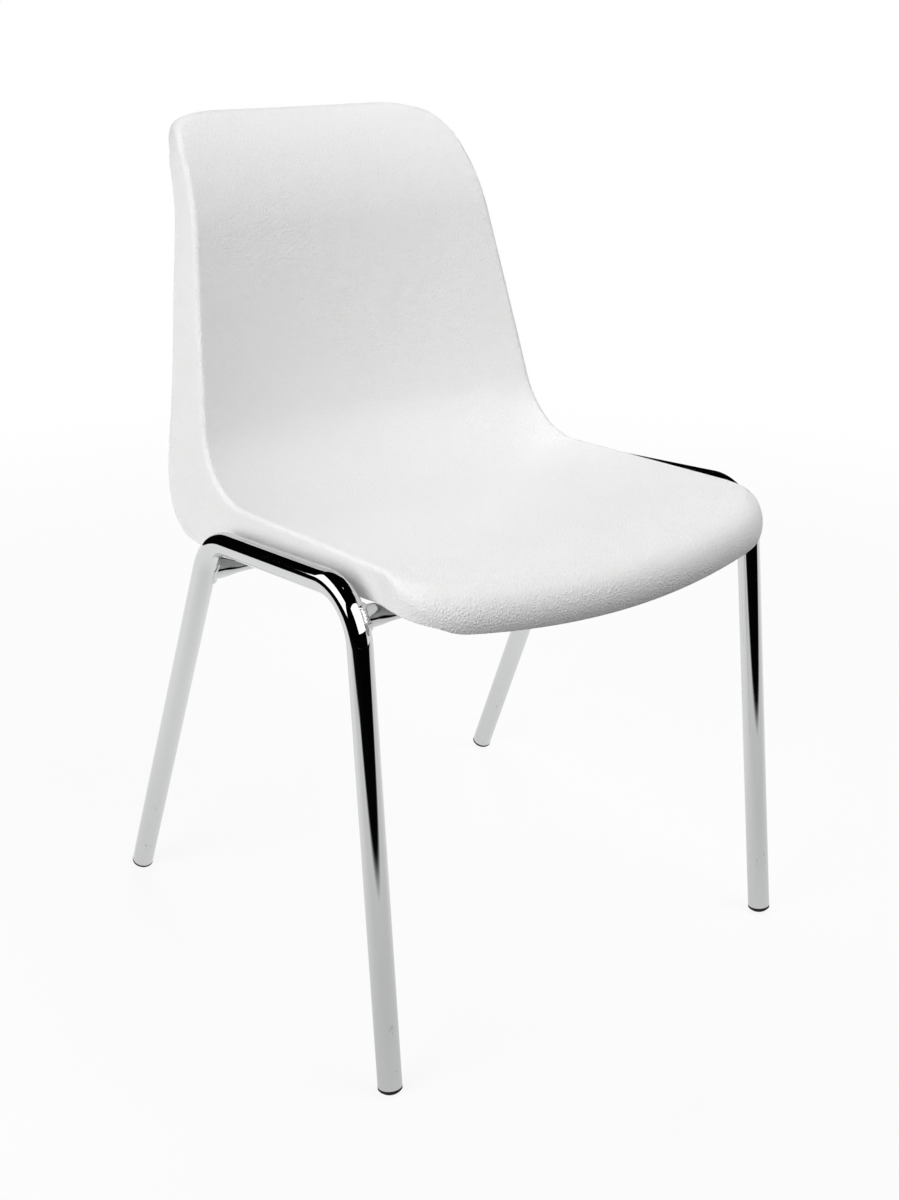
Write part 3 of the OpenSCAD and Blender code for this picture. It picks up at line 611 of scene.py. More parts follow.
class BarForm:
    """A crossbar between the side frames: round at its ends, pressed flat between them."""

    ROUND_STEPS = 32
    PRESS_STEPS = 24
    COPE_STEPS = 8
    COPE_GAP = 0.1 * MM

    def __init__(self, size, frame_form, end):
        self.size = size
        self.frame_form = frame_form
        f = frame_form
        if end == FRONT:
            self.tube_angle = f.front_down - size.front_turn
            at = f.front_centre - f.size.front_bend_r * left_of(self.tube_angle)
        else:
            self.tube_angle = f.rear_up
            at = f.rear_bend_start - size.rear_drop * heading(f.rear_up)
        self.y = at[0]
        self.z = at[1] * math.cos(f.size.lean)
        self.half = f.foot_half_w - at[1] * math.sin(f.size.lean)
        self.screw_x = size.front_screw_x if end == FRONT else size.rear_screw_x
        self.top = self.z + size.flat_t / 2

    def outline(self, flatness, inset):
        """Outline (y, z) of the tube pressed by flatness from 0 to 1, set in by a wall; its girth stays."""
        size = self.size
        t = size.bar_d + (size.flat_t - size.bar_d) * flatness
        w = t + math.pi / 2 * (size.bar_d - t)
        a = np.linspace(-math.pi / 2, math.pi / 2, self.ROUND_STEPS + 1)
        half = np.stack([(w - t) / 2 + (t / 2 - inset) * np.cos(a), (t / 2 - inset) * np.sin(a)], -1)
        return np.concatenate([half, -half])

    def surface(self, inset):
        """Rings of points from the right side frame to the left one."""
        size = self.size
        pressed = self.half - self.frame_form.tube_r - size.round_len
        rings = []
        for t in np.linspace(0, 1, self.PRESS_STEPS + 1):
            x = pressed - size.press_len * (1 - t)
            rings.append((np.full(2 * (self.ROUND_STEPS + 1), x), self.outline(ease(1 - t), inset)))
        round_end = self.outline(0, inset)
        face = self.frame_form.face_x(self.y + round_end[:, 0], self.z + round_end[:, 1], self.COPE_GAP)
        for t in np.linspace(0, 1, self.COPE_STEPS + 1)[1:]:
            rings.append((pressed + (face - pressed) * t, round_end))
        half = np.array([np.column_stack([x, yz + [self.y, self.z]]) for x, yz in rings])
        return np.concatenate([(half * [-1, 1, 1])[::-1], half])


# ---- Meshes and pieces

MERGE_GAP = 0.001 * MM
SHARP_ANGLE = math.radians(40)


def numbers(*shape, first=0):
    return first + np.arange(int(np.prod(shape))).reshape(shape)


def bridge(rows, closed=True):
    """Quads between neighbouring rows of vertex numbers."""
    rows = np.asarray(rows)
    ahead = np.roll(rows, -1, axis=1)
    quads = np.stack([rows[:-1], rows[1:], ahead[1:], ahead[:-1]], -1)
    return (quads if closed else quads[:, :-1]).reshape(-1, 4)


def loft(rows, ring=False):
    """Points and faces of a surface through closed rows of points. A ring's last row joins its first."""
    count = numbers(*rows.shape[:2])
    return rows.reshape(-1, 3), bridge(np.concatenate([count, count[:1]]) if ring else count)


def new_piece(name, points, faces, finish):
    """A smooth-shaded object of those points and faces, with its faces turned outward."""
    mesh = bpy.data.meshes.new(name)
    mesh.from_pydata(np.asarray(points).tolist(), [], [list(map(int, f)) for f in faces])
    form = bmesh.new()
    form.from_mesh(mesh)
    bmesh.ops.remove_doubles(form, verts=form.verts, dist=MERGE_GAP)
    bmesh.ops.recalc_face_normals(form, faces=form.faces)
    form.to_mesh(mesh)
    form.free()
    mesh.shade_smooth()
    mesh.set_sharp_from_angle(angle=SHARP_ANGLE)
    mesh.materials.append(finish)
    piece = bpy.data.objects.new(name, mesh)
    bpy.context.scene.collection.objects.link(piece)
    return piece


def add_part(name, mesh, shift, finish, slot, *nodes):
    """A piece of the chair, moved by the shift, which may stand for CAD nodes."""
    points, faces = mesh
    piece = new_piece(name, points + shift, faces, finish)
    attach(piece, BODY)
    if nodes:
        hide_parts(*nodes)


def chair_forms(context):
    """The shell, the side frame, the two crossbars and the shift that centres the chair along Y."""
    scene = context.scene
    shell = ShellForm(scene.chair_shell)
    side = FrameForm(scene.chair_frame, scene.chair_shell)
    bars = {end: BarForm(scene.chair_bars, side, end) for end in ENDS}
    x, s = shell.grid()
    outer = shell_rings(shell, x, s)[1]
    y = np.concatenate([ring[:, 1] for ring in outer])
    low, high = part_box("seat_shell")
    return shell, side, bars, np.array([0, (low.y + high.y - y.min() - y.max()) / 2, 0])


def border(grid):
    """The numbers or points round the edge of a grid, once round from its first corner."""
    return np.concatenate([grid[0], grid[1:, -1], grid[-1, -2::-1], grid[-2:0:-1, 0]])


def shell_rings(shell, x, s):
    """The sitting surface, the rim's rings round it, and the surface's normals."""
    skin = shell.skin(x, s)
    normals = shell.skin_normal(x, s)
    return skin, shell.rim(border(skin), border(normals), border(x), border(s)), normals


def shell_mesh(shell):
    """Points and faces of the whole moulding: sitting surface, rim, skirt and underside."""
    x, s = shell.grid()
    skin, rings, normals = shell_rings(shell, x, s)
    under = skin - shell.size.wall * normals
    top = numbers(*x.shape)
    around = len(border(top))
    rim = numbers(len(rings), around, first=top.size)
    bottom = numbers(*x.shape, first=top.size + rim.size)
    points = np.concatenate([skin.reshape(-1, 3), *rings, under.reshape(-1, 3)])
    rows = [border(top), *rim, border(bottom)]
    faces = np.concatenate([bridge(top, False), bridge(rows), bridge(bottom, False)])
    return points, faces


def boss_mesh(shell, bar, side, size):
    """A boss and its four webs, from the crossbar's top into the seat's wall."""
    around = 48
    steps = 12
    fillet = 2 * MM
    bury = 1.2 * MM
    web_turns = (45, 135, 225, 315)
    web_bury = MM
    web_steps = 14
    web_h = 60 * MM
    web_bevel = 0.6 * MM
    least_h = 0.2 * MM
    base = size.boss_d / 2
    centre = np.array([side * bar.screw_x, bar.y])
    a = np.linspace(0, 2 * math.pi, around, endpoint=False)
    spread = heading(a)
    roof = np.array([shell.under_side(*(centre + (base + fillet) * d)) for d in spread])
    rings = []
    for t in np.linspace(0, 1, steps + 1):
        z = bar.top + (roof - bar.top) * t
        near = np.clip(1 - (roof - z) / fillet, 0, 1)
        r = base + (z - bar.top) * math.tan(size.boss_draft) + fillet * (1 - np.sqrt(1 - near**2))
        rings.append(np.column_stack([centre + spread * r[:, None], z]))
    rings.append(rings[-1] + [0, 0, bury])
    points = [np.concatenate(rings)]
    skin_rows = numbers(len(rings), around)
    faces = [*bridge(skin_rows), skin_rows[0], skin_rows[-1]]
    count = skin_rows.size
    for a in np.radians(web_turns):
        out = heading(a)
        across = left_of(a) * size.web_t / 2
        sections = []
        for r in base - web_bury + np.linspace(0, 1, web_steps) * size.web_slope * web_h:
            at = centre + r * out
            high = shell.under_side(*at) + bury
            low = min(bar.top + size.web_start + max(r - base, 0) / size.web_slope, high - least_h)
            bevel = low + web_bevel
            outline = ((-1, bevel), (-0.5, low), (0.5, low), (1, bevel), (1, high), (-1, high))
            sections.append([[*(at + sideways * across), z] for sideways, z in outline])
        web = np.array(sections)
        rows = numbers(*web.shape[:2], first=count)
        points.append(web.reshape(-1, 3))
        faces += [*bridge(rows), rows[0], rows[-1]]
        count += rows.size
    return np.concatenate(points), faces


def tube_mesh(side_form, side):
    """The bent tube of a side frame, open at its two feet, with its wall."""
    around = 72
    line, turned = side_form.centre_line()
    a = np.linspace(0, 2 * math.pi, around, endpoint=False)
    inward = left_of(turned)
    skins = []
    for r in (side_form.tube_r, side_form.tube_r - side_form.size.tube_wall):
        plane = line[:, None] + r * np.cos(a)[None, :, None] * inward[:, None]
        across = np.broadcast_to(r * np.sin(a), plane.shape[:2])
        skins.append(side_form.placed(np.concatenate([across[..., None], plane], -1), side))
    outer, bore = skins
    return loft(np.concatenate([outer, bore[::-1]]), ring=True)


def bar_mesh(bar):
    """A crossbar with its wall, coped at both ends to the side frames."""
    return loft(np.concatenate([bar.surface(0), bar.surface(bar.size.bar_wall)[::-1]]), ring=True)


def weld_mesh(bar, side):
    """A rippled fillet bead round one coped joint, which wanders a little in width."""
    around = 288
    face_steps = 10
    ripples = 26
    ripple_lag = 2.2
    ripple_low = 0.72
    ripple_rise = 0.42
    ripple_power = 0.6
    ripple_wander = 0.4
    toe_wander = 0.6
    wanders = ((0.12, 3, 1), (0.08, 7, 2.3))
    sink = 0.1 * MM
    bulge = 0.16
    tube_margin = 0.4 * MM
    least_leg = 0.3 * MM
    least_slope = 0.01
    f = bar.frame_form
    leg = bar.size.weld_leg
    a = np.linspace(0, 2 * math.pi, around, endpoint=False)
    wander = sum(amount * np.sin(waves * a + start) for amount, waves, start in wanders)
    on_bar = bar.size.bar_d / 2 - sink
    reach = (f.tube_r - tube_margin) / np.maximum(np.abs(np.sin(a - bar.tube_angle)), least_slope)
    on_tube = np.maximum(np.minimum(on_bar + leg * (1 + wander), reach), on_bar + least_leg)
    half_way = (on_bar + on_tube) / 2

    def face(r):
        return f.face_x(bar.y + r * np.cos(a), bar.z + r * np.sin(a), -sink)

    toe = np.stack([face(on_bar + 0 * a) - leg * (1 + toe_wander * wander), on_bar + 0 * a], -1)
    head = np.stack([face(on_tube), on_tube], -1)
    chord = head - toe
    swell = np.stack([-chord[:, 1], chord[:, 0]], -1)
    sections = []
    for u in np.linspace(0, 1, face_steps + 1):
        lag = ripple_lag * (u - 0.5) ** 2 + ripple_wander * wander
        scallop = np.abs(np.sin(ripples / 2 * a + lag)) ** ripple_power
        height = bulge * 4 * u * (1 - u) * (ripple_low + ripple_rise * scallop)
        sections.append(toe + u * chord + height[:, None] * swell)
    sections.append(np.stack([face(half_way) + sink, half_way], -1))
    sections.append(np.stack([face(on_bar + 0 * a) + sink, on_bar - sink + 0 * a], -1))
    x, r = np.moveaxis(np.array(sections), -1, 0)
    return loft(np.stack([side * x, bar.y + r * np.cos(a), bar.z + r * np.sin(a)], -1), ring=True)


def glide_mesh(side_form, end, side):
    """A glide turned about its leg's line: ribbed plug, collar and a dome that stands flat."""
    size = side_form.size
    tube_r = side_form.tube_r
    around = 64
    dome_steps = 20
    soft = 0.45 * MM
    dome_rim = 0.3 * MM
    plug_clear = MM
    rib_clear = 0.1 * MM
    plug_r = tube_r - size.tube_wall - plug_clear
    rib_r = tube_r - size.tube_wall - rib_clear
    rib_places = (0.25, 0.7)
    rib_t = 1.5 * MM
    rib_slope = 0.3 * MM
    dome_h = size.dome_r - math.sqrt(size.dome_r**2 - tube_r**2)
    dome = np.linspace(0, math.asin(tube_r / size.dome_r), dome_steps)
    profile = [(size.dome_r * math.sin(d), size.dome_r * (1 - math.cos(d)) - dome_h) for d in dome]
    profile += [(tube_r, dome_rim), (tube_r, size.collar_t - soft)]
    for d in np.radians([30, 60, 90]):
        profile.append((tube_r - soft * (1 - math.cos(d)), size.collar_t - soft * (1 - math.sin(d))))
    profile.append((plug_r, size.collar_t))
    for t in rib_places:
        low = size.collar_t + t * size.plug_len
        profile += [(plug_r, low), (rib_r, low + rib_slope)]
        profile += [(rib_r, low + rib_t - rib_slope), (plug_r, low + rib_t)]
    profile += [(plug_r, size.collar_t + size.plug_len), (0, size.collar_t + size.plug_len)]
    a = np.linspace(0, 2 * math.pi, around, endpoint=False)
    up = heading(side_form.leg_up[end])
    across = np.array([up[1], -up[0]])
    at = side_form.foot[end] + side_form.collar_at(end) * up
    rows = []
    for r, h in profile:
        plane = at + h * up + r * np.cos(a)[:, None] * across
        rows.append(side_form.placed(np.column_stack([r * np.sin(a), plane]), side))
    rows = np.array(rows)
    rows[..., 2] = np.maximum(rows[..., 2], 0)
    return loft(rows)


# ---- Shaders

WHITE = (1, 1, 1, 1)
CARD_BLACK = (0.002, 0.002, 0.002, 1)
WHITE_RAYS = ("Is Camera Ray", "Is Glossy Ray", "Is Transmission Ray")


class Wire:
    """A socket of a shader, on which arithmetic adds Math nodes."""

    def __init__(self, shader, socket):
        self.shader = shader
        self.socket = socket

    def __add__(self, other):
        return self.shader.math_node("ADD", self, other)

    def __radd__(self, other):
        return self.shader.math_node("ADD", other, self)

    def __sub__(self, other):
        return self.shader.math_node("SUBTRACT", self, other)

    def __rsub__(self, other):
        return self.shader.math_node("SUBTRACT", other, self)

    def __mul__(self, other):
        return self.shader.math_node("MULTIPLY", self, other)

    def __rmul__(self, other):
        return self.shader.math_node("MULTIPLY", other, self)


class Shader:
    """A material or world tree, filled by one method."""

    def __init__(self, owner):
        owner.use_nodes = True
        self.tree = owner.node_tree
        self.tree.nodes.clear()

    def node(self, kind, settings, inputs, output=0):
        """A node with its settings made first, then its sockets' values or links, as one of its outputs."""
        node = self.tree.nodes.new(kind)
        for name, value in settings.items():
            setattr(node, name, value)
        for name, value in inputs.items():
            if isinstance(value, Wire):
                self.tree.links.new(value.socket, node.inputs[name])
            else:
                node.inputs[name].default_value = value
        return Wire(self, node.outputs[output]) if node.outputs else None

    def math_node(self, operation, *values):
        return self.node("ShaderNodeMath", {"operation": operation}, dict(enumerate(values)))

    def highest(self, *values):
        return reduce(lambda a, b: self.math_node("MAXIMUM", a, b), values)

    def vector_node(self, operation, values, output="Vector"):
        return self.node("ShaderNodeVectorMath", {"operation": operation}, values, output)

    def object_place(self):
        return self.node("ShaderNodeTexCoord", {}, {}, "Object")

    def height_of(self, vector):
        return self.node("ShaderNodeSeparateXYZ", {}, {"Vector": vector}, "Z")

    def seen_by(self, *rays):
        """1 for rays of any of these kinds."""
        return self.highest(*(self.node("ShaderNodeLightPath", {}, {}, ray) for ray in rays))

    def stretched(self, vector, scale):
        return self.node("ShaderNodeMapping", {"vector_type": "POINT"}, {"Vector": vector, "Scale": scale})

    def noise(self, vector, scale, detail=3.0, roughness=0.5, output=0):
        inputs = {"Vector": vector, "Scale": scale, "Detail": detail, "Roughness": roughness}
        return self.node("ShaderNodeTexNoise", {}, inputs, output)

    def cells(self, vector, scale, feature="DISTANCE_TO_EDGE"):
        inputs = {"Vector": vector, "Scale": scale}
        return self.node("ShaderNodeTexVoronoi", {"feature": feature}, inputs, "Distance")

    def step(self, value, low, high, first=0.0, last=1.0):
        """Smooth step from first to last as the value goes from low to high."""
        return self.node(
            "ShaderNodeMapRange", {"interpolation_type": "SMOOTHSTEP"},
            {"Value": value, "From Min": low, "From Max": high, "To Min": first, "To Max": last},
        )

    def mixed(self, factor, a, b):
        """Colour between a and b."""
        a, b = (c if isinstance(c, Wire) else (*c, 1) for c in (a, b))
        return self.node("ShaderNodeMix", {"data_type": "RGBA"}, {0: factor, 6: a, 7: b}, 2)

    def bump(self, height, strength, distance, normal=None):
        inputs = {"Height": height, "Strength": strength, "Distance": distance}
        if normal is not None:
            inputs["Normal"] = normal
        return self.node("ShaderNodeBump", {}, inputs)

    def surface(self, inputs):
        return self.node("ShaderNodeBsdfPrincipled", {}, inputs, "BSDF")

    def matt(self, tone):
        """A surface without any gloss."""
        return self.surface({"Base Color": tone, "Roughness": 1.0, "Specular IOR Level": 0.0})

    def blend(self, factor, first, last):
        return self.node("ShaderNodeMixShader", {}, {0: factor, 1: first, 2: last})

    def output(self, result, kind="ShaderNodeOutputMaterial"):
        self.node(kind, {}, {"Surface": result})


def shaded(tone, factor):
    return tuple(factor * c for c in tone)


def material(build, *values):
    """The material that this function builds, made the first time that a piece asks for it."""
    found = bpy.data.materials.get(build.__name__)
    if found is None:
        found = bpy.data.materials.new(build.__name__)
        build(Shader(found), *values)
    return found


# ---- Finishes

def moulded_plastic(s, look):
    """White moulding with a fine pebbled grain with painted shade in its grooves, a satin gloss and the
    faintest clouding.
    """
    place_in = s.object_place()
    pebble = 1 / look.grain
    drift = s.noise(place_in, 0.6 * pebble, 2.0, output="Color")
    drift = s.vector_node("SCALE", {0: drift, "Scale": 0.5 * look.grain})
    wandering = s.vector_node("ADD", {0: place_in, 1: drift})
    groove = s.step(s.cells(wandering, pebble), 0.0, 0.4)
    fine = s.noise(place_in, 1.3 * pebble, 2.0, 0.6)
    height = 0.6 * groove + 0.7 * fine
    cloud = s.noise(place_in, 5.0, 4.0, 0.55)
    rubbed = s.step(s.noise(s.stretched(place_in, (1.0, 2.6, 1.0)), 14.0, 5.0, 0.6), 0.52, 0.72)
    tone = s.mixed(cloud, shaded(look.shell, 0.985), look.shell)
    # Painted shade: the grain's grooves are darkened a little.
    tone = s.mixed(0.05 * (1 - groove), tone, shaded(look.shell, 0.7))
    rough = look.shell_gloss + 0.06 * (1 - groove) - 0.07 * rubbed + 0.04 * cloud
    bumps = s.bump(height, 1.0, look.grain_depth)
    s.output(s.surface({"Base Color": tone, "Roughness": rough, "IOR": 1.49, "Normal": bumps}))


def chrome_plate(s, look):
    """Bright plating with slight waves, wiping marks, dust and low scuffs, and painted shade that darkens it
    towards the feet, broken by painted streaks of reflection.
    """
    place_in = s.object_place()
    height = s.height_of(place_in)
    wave = s.noise(s.stretched(place_in, (1.0, 1.0, 0.25)), 55.0, 2.0, 0.4)
    polish = s.noise(s.stretched(place_in, (1.0, 1.0, 0.02)), 2600.0, 2.0, 0.5)
    smudge = s.step(s.noise(place_in, 17.0, 5.0, 0.62), 0.5, 0.7)
    dust = s.step(s.cells(place_in, 420.0, "F1"), 0.1, 0.0)
    low = s.step(height, 0.02, 0.17, 1.0, 0.0)
    scratch = s.step(s.noise(s.stretched(place_in, (1.0, 1.0, 0.16)), 300.0, 4.0, 0.7), 0.63, 0.68)
    worn = scratch * low * s.step(s.noise(place_in, 30.0, 2.0), 0.45, 0.6)
    # Painted reflection: fine upright streaks that break up the painted shade below.
    painted_streaks = s.noise(s.stretched(place_in, (1.0, 1.0, 0.02)), 220.0, 3.0)
    # Painted shade: the plating's colour darkens towards the feet, where it mirrors the shadowed floor.
    painted_low_shade = s.step(height, 0.0, 0.3, 1.0, 0.0) * (0.75 + 0.5 * painted_streaks)
    tone = s.mixed(0.16 * painted_low_shade, look.chrome, shaded(look.chrome, 0.3))
    tone = s.mixed(0.5 * worn, tone, shaded(look.chrome, 0.3))
    rough = look.chrome_gloss + 0.035 * smudge + 0.02 * dust + 0.25 * worn
    bumps = s.bump(wave, 0.3, 0.12 * MM)
    bumps = s.bump(polish + worn, 0.15, 0.004 * MM, bumps)
    s.output(s.surface({"Base Color": tone, "Metallic": 1.0, "Roughness": rough, "Normal": bumps}))


def plated_bead(s, look):
    """Plating over a weld: rougher, with small dark pits."""
    place_in = s.object_place()
    lump = s.noise(place_in, 700.0, 4.0, 0.6)
    pit = s.step(s.cells(place_in, 900.0, "F1"), 0.28, 0.1)
    tone = s.mixed(0.35 * pit, look.chrome, shaded(look.chrome, 0.4))
    rough = look.chrome_gloss + 0.05 + 0.12 * lump + 0.2 * pit
    bumps = s.bump(lump - 0.5 * pit, 0.5, 0.12 * MM)
    s.output(s.surface({"Base Color": tone, "Metallic": 1.0, "Roughness": rough, "Normal": bumps}))


def black_glide(s, look):
    """Black nylon with a dull grain, scuffed grey where it rubs on the floor."""
    place_in = s.object_place()
    grain = s.noise(place_in, 1800.0, 3.0, 0.6)
    scuff = s.step(s.noise(s.stretched(place_in, (1.0, 1.0, 3.0)), 420.0, 5.0, 0.65), 0.48, 0.62)
    scuff = scuff * s.step(s.height_of(place_in), 0.0, 3.5 * MM, 1.0, 0.0)
    tone = s.mixed(0.6 * scuff, look.glide, (0.05, 0.049, 0.048))
    rough = 0.55 + 0.12 * grain + 0.2 * scuff
    bumps = s.bump(grain + scuff, 0.35, 0.05 * MM)
    s.output(s.surface({"Base Color": tone, "Roughness": rough, "Specular IOR Level": 0.2, "Normal": bumps}))


def zinc_plate(s, look):
    """Zinc plate with turning marks and a faint warm cast in patches."""
    place_in = s.object_place()
    turning = s.noise(s.stretched(place_in, (0.05, 0.05, 1.0)), 5200.0, 2.0)
    patch = s.noise(place_in, 260.0, 3.0)
    tone = s.mixed(s.step(patch, 0.45, 0.65), look.zinc, (0.46, 0.43, 0.34))
    rough = 0.26 + 0.14 * patch
    bumps = s.bump(turning, 0.3, 0.02 * MM)
    s.output(s.surface({"Base Color": tone, "Metallic": 1.0, "Roughness": rough, "Normal": bumps}))


def pale_floor(s, look):
    """Matt pale floor that takes a shadow, lifted to white where it is looked at, wholly so far away."""
    lift_from = 0.8
    lift_to = 2.2
    place_in = s.object_place()
    tone = s.mixed(s.noise(place_in, 300.0, 2.0), shaded(look.floor, 0.99), look.floor)
    white = s.node("ShaderNodeEmission", {}, {"Color": WHITE, "Strength": 1.0})
    away = s.vector_node("LENGTH", {0: place_in}, "Value")
    lift = s.step(away, lift_from, lift_to, look.floor_lift, 1.0)
    s.output(s.blend(lift * s.seen_by(*WHITE_RAYS), s.matt(tone), white))


def dark_card(s):
    """Matt black."""
    s.output(s.matt(CARD_BLACK))


def dark_floor(s, stage):
    """Matt black past the paper's two edges, and a shade of it on the paper in front of the chair."""
    shade_from = -0.2
    shade_to = 0.6
    place_in = s.object_place()

    def beyond(turn, first, last):
        """Smooth step from 0 to 1 over those distances from the chair's middle in that direction."""
        toward = (math.cos(turn), math.sin(turn), 0)
        return s.step(s.vector_node("DOT_PRODUCT", {0: place_in, 1: toward}, "Value"), first, last)

    soft = stage.paper_soft
    front = beyond(stage.paper_front_turn, stage.paper_front - soft, stage.paper_front + soft)
    side = beyond(stage.paper_side_turn, stage.paper_side - soft, stage.paper_side + soft)
    shade = s.step(s.seen_by("Is Glossy Ray"), 0.0, 1.0, stage.felt_shade, stage.paper_shade)
    shade = shade * beyond(stage.paper_front_turn, shade_from, shade_to)
    clear = s.node("ShaderNodeBsdfTransparent", {}, {})
    s.output(s.blend(s.highest(front, side, shade), clear, s.matt(CARD_BLACK)))


def studio_sky(s, stage):
    """White where it is looked at or mirrored, and a faint even light on everything else."""
    strength = s.step(s.seen_by(*WHITE_RAYS), 0.0, 1.0, stage.sky, 1.0)
    background = s.node("ShaderNodeBackground", {}, {"Color": WHITE, "Strength": strength})
    s.output(background, "ShaderNodeOutputWorld")


# ---- Stage

CLIP_START = 50 * MM
FLOOR_HALF = 12.0
CEILING_HOLE = 100 * MM
FLOOR_HOLE = 10 * MM
BAND_STEPS = 48
FULL_TURN = (0, 2 * math.pi)

# Direction from the middle of the chair as turn from +X and rise in degrees, then width, height and use
LAMPS = {
    "side_lamp": (190, 20, 1.7, 1.7, "shade"),
    "front_lamp": (-58, 55, 1.6, 1.6, "shade"),
    "rear_lamp": (60, 58, 1.2, 1.2, "shade"),
    "side_panel": (155, 33, 2.9, 1.6, "mirror"),
    "front_panel": (-84, 38, 3.4, 2.0, "mirror"),
}


def add_lamp(name, radiance, away, middle):
    """A lamp of that radiance, turned to the middle. It shades surfaces or shows in reflections."""
    turn, rise, width, height, use = LAMPS[name]
    turn, rise = math.radians(turn), math.radians(rise)
    out = Vector((math.cos(rise) * math.cos(turn), math.cos(rise) * math.sin(turn), math.sin(rise)))
    light = bpy.data.lights.new(name, "AREA")
    light.shape = "RECTANGLE"
    light.size = width
    light.size_y = height
    light.energy = radiance * width * height * math.pi
    lamp = bpy.data.objects.new(name, light)
    lamp.location = middle + away * out
    lamp.rotation_mode = "QUATERNION"
    lamp.rotation_quaternion = out.to_track_quat("Z", "Y")
    lamp.visible_diffuse = use == "shade"
    lamp.visible_glossy = use == "mirror"
    bpy.context.scene.collection.objects.link(lamp)


def add_backdrop(name, points, faces, finish):
    """A stage piece."""
    piece = new_piece(name, points, faces, finish)
    return piece


def add_dark(name, finish, rims, turns, felt=False):
    """A dark card round the chair between two rims (radius, height), from one angle to another.

    The camera doesn't see it but the chrome mirrors it, and the light off the floor may feel it.
    """
    a = np.linspace(*turns, BAND_STEPS + 1)
    rows = [np.column_stack([r * heading(a), np.full(len(a), z)]) for r, z in rims]
    card = add_backdrop(name, np.concatenate(rows), bridge(numbers(2, len(a)), False), finish)
    card.visible_camera = False
    card.visible_transmission = False
    card.visible_shadow = False
    card.visible_diffuse = felt


def add_surroundings(stage):
    """The dark walls, ceiling and floor that the chrome mirrors."""
    foot = (stage.room_r, MM)
    head = (stage.room_r, stage.room_h)
    rear_foot = (stage.room_r, stage.rear_wall_z)
    card = material(dark_card)
    add_dark("dark_wall", card, (foot, head), (stage.wall_from, stage.wall_to))
    add_dark("dark_rear_wall", card, (rear_foot, head), (stage.rear_wall_from, stage.wall_from))
    add_dark("dark_ceiling", card, ((CEILING_HOLE, stage.room_h), head), FULL_TURN)
    add_dark("dark_floor", material(dark_floor, stage), ((FLOOR_HOLE, MM), foot), FULL_TURN, felt=True)


def add_camera(scene, stage):
    """The camera that the scene is seen through."""
    camera = bpy.data.objects.new("view", bpy.data.cameras.new("view"))
    camera.data.lens = stage.camera_lens
    camera.data.clip_start = CLIP_START
    camera.matrix_world = (
        Matrix.Translation(stage.camera_place)
        @ Matrix.Rotation(-stage.camera_turn, 4, "Z")
        @ Matrix.Rotation(math.pi / 2 - stage.camera_dip, 4, "X")
        @ Matrix.Rotation(stage.camera_roll, 4, "Z")
    )
    scene.collection.objects.link(camera)
    scene.camera = camera


# ---- Operators, one for each piece or group of like pieces

class MESH_OT_chair_shell(Operator):
    """Mould the one-piece seat and back, with its rolled rim and skirt, and the bosses under the seat"""

    bl_idname = "mesh.chair_shell"
    bl_label = "Seat Shell"
    bl_options = {"REGISTER", "UNDO"}

    def execute(self, context):
        shell, _, bars, shift = chair_forms(context)
        finish = material(moulded_plastic, context.scene.chair_finish)
        add_part("moulded_shell", shell_mesh(shell), shift, finish, "shell", "seat_shell")
        for end, side, corner in CORNERS:
            boss = boss_mesh(shell, bars[end], side, context.scene.chair_bars)
            add_part(f"shell_boss_{corner}", boss, shift, finish, "shell")
        return {"FINISHED"}


class MESH_OT_chair_side_frames(Operator):
    """Bend the two side frames from round tube"""

    bl_idname = "mesh.chair_side_frames"
    bl_label = "Side Frames"
    bl_options = {"REGISTER", "UNDO"}

    def execute(self, context):
        _, side_form, _, shift = chair_forms(context)
        finish = material(chrome_plate, context.scene.chair_finish)
        for side, name in SIDES.items():
            tube = tube_mesh(side_form, side)
            add_part(f"bent_tube_{name}", tube, shift, finish, "frame", f"side_frame_{name}")
        return {"FINISHED"}


class MESH_OT_chair_crossbars(Operator):
    """Press the two crossbars flat between their round, coped ends"""

    bl_idname = "mesh.chair_crossbars"
    bl_label = "Crossbars"
    bl_options = {"REGISTER", "UNDO"}

    def execute(self, context):
        _, _, bars, shift = chair_forms(context)
        finish = material(chrome_plate, context.scene.chair_finish)
        for end in ENDS:
            bar = bar_mesh(bars[end])
            add_part(f"pressed_bar_{end}", bar, shift, finish, "crossbar", f"{end}_crossbar")
        return {"FINISHED"}


class MESH_OT_chair_welds(Operator):
    """Lay a rippled bead round each of the four coped joints"""

    bl_idname = "mesh.chair_welds"
    bl_label = "Weld Beads"
    bl_options = {"REGISTER", "UNDO"}

    def execute(self, context):
        _, _, bars, shift = chair_forms(context)
        finish = material(plated_bead, context.scene.chair_finish)
        for end, side, corner in CORNERS:
            bead = weld_mesh(bars[end], side)
            add_part(f"bead_{corner}", bead, shift, finish, "weld", f"weld_{corner}")
        return {"FINISHED"}


class MESH_OT_chair_glides(Operator):
    """Turn the four glides and push them into the feet"""

    bl_idname = "mesh.chair_glides"
    bl_label = "Glides"
    bl_options = {"REGISTER", "UNDO"}

    def execute(self, context):
        _, side_form, _, shift = chair_forms(context)
        finish = material(black_glide, context.scene.chair_finish)
        for end, side, corner in CORNERS:
            glide = glide_mesh(side_form, end, side)
            add_part(f"foot_{corner}", glide, shift, finish, "glide", f"glide_{corner}")
        return {"FINISHED"}


class MESH_OT_chair_screws(Operator):
    """Plate the four screws that hold the shell, on the frame's own screws"""

    bl_idname = "mesh.chair_screws"
    bl_label = "Screws"
    bl_options = {"REGISTER", "UNDO"}

    def execute(self, context):
        finish = material(zinc_plate, context.scene.chair_finish)
        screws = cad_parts["shell_screws"]
        for slot in screws.material_slots:
            slot.material = finish
        return {"FINISHED"}


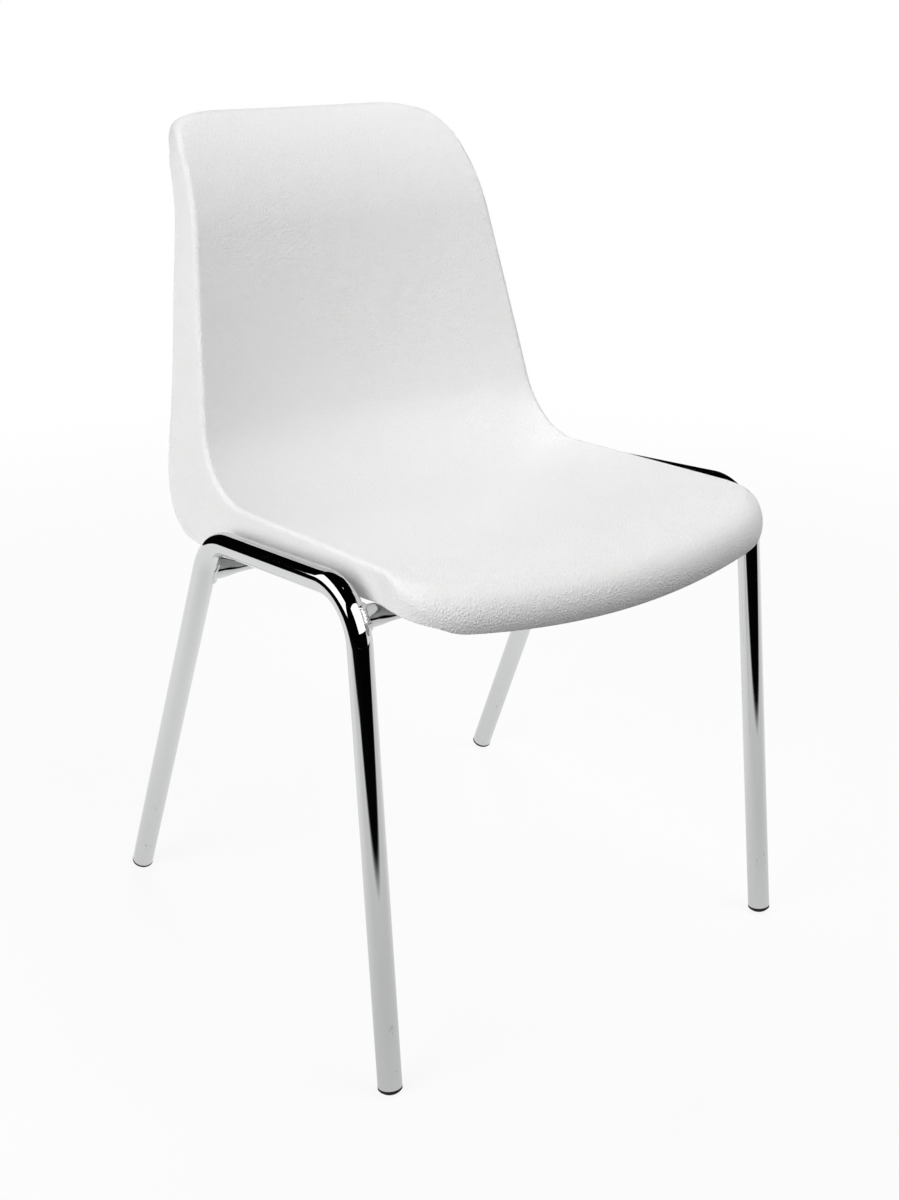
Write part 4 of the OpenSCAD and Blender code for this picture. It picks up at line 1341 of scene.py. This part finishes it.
class SCENE_OT_chair_stage(Operator):
    """Lay the floor, set the camera, hang the dark cards and the lamps, and light the world"""

    bl_idname = "scene.chair_stage"
    bl_label = "Stage"
    bl_options = {"REGISTER", "UNDO"}

    def execute(self, context):
        scene = context.scene
        stage = scene.chair_stage
        points = [(x * FLOOR_HALF, y * FLOOR_HALF, 0) for x, y in ((-1, -1), (1, -1), (1, 1), (-1, 1))]
        add_backdrop("floor", points, [range(4)], material(pale_floor, scene.chair_finish))
        add_camera(scene, stage)
        add_surroundings(stage)
        middle = (cad_box[0] + cad_box[1]) / 2
        for name in LAMPS:
            add_lamp(name, getattr(stage, name), stage.lamp_away, middle)
        scene.world = bpy.data.worlds.new("studio")
        studio_sky(Shader(scene.world), stage)
        scene.view_settings.view_transform = "Standard"
        return {"FINISHED"}


OPERATORS = (
    SCENE_OT_chair_stage,
    MESH_OT_chair_shell,
    MESH_OT_chair_side_frames,
    MESH_OT_chair_crossbars,
    MESH_OT_chair_welds,
    MESH_OT_chair_glides,
    MESH_OT_chair_screws,
)


class VIEW3D_PT_stacking_chair(Panel):
    """Sizes, colours and operators of the stacking chair"""

    bl_label = "Stacking Chair"
    bl_idname = "VIEW3D_PT_stacking_chair"
    bl_space_type = "VIEW_3D"
    bl_region_type = "UI"
    bl_category = "Stacking Chair"

    def draw(self, context):
        for operator in OPERATORS:
            self.layout.operator(operator.bl_idname)
        for group, kind in SIZE_GROUPS.items():
            box = self.layout.box()
            box.label(text=kind.__doc__)
            for name in kind.__annotations__:
                box.prop(getattr(context.scene, group), name)


def register():
    for kind in (*SIZE_GROUPS.values(), *OPERATORS, VIEW3D_PT_stacking_chair):
        bpy.utils.register_class(kind)
    for group, kind in SIZE_GROUPS.items():
        setattr(bpy.types.Scene, group, PointerProperty(type=kind))


def unregister():
    for group in SIZE_GROUPS:
        delattr(bpy.types.Scene, group)
    for kind in (VIEW3D_PT_stacking_chair, *OPERATORS[::-1], *SIZE_GROUPS.values()):
        bpy.utils.unregister_class(kind)


def main():
    register()
    for operator in OPERATORS:
        module, name = operator.bl_idname.split(".")
        getattr(getattr(bpy.ops, module), name)()


if __name__ == "__main__":
    main()
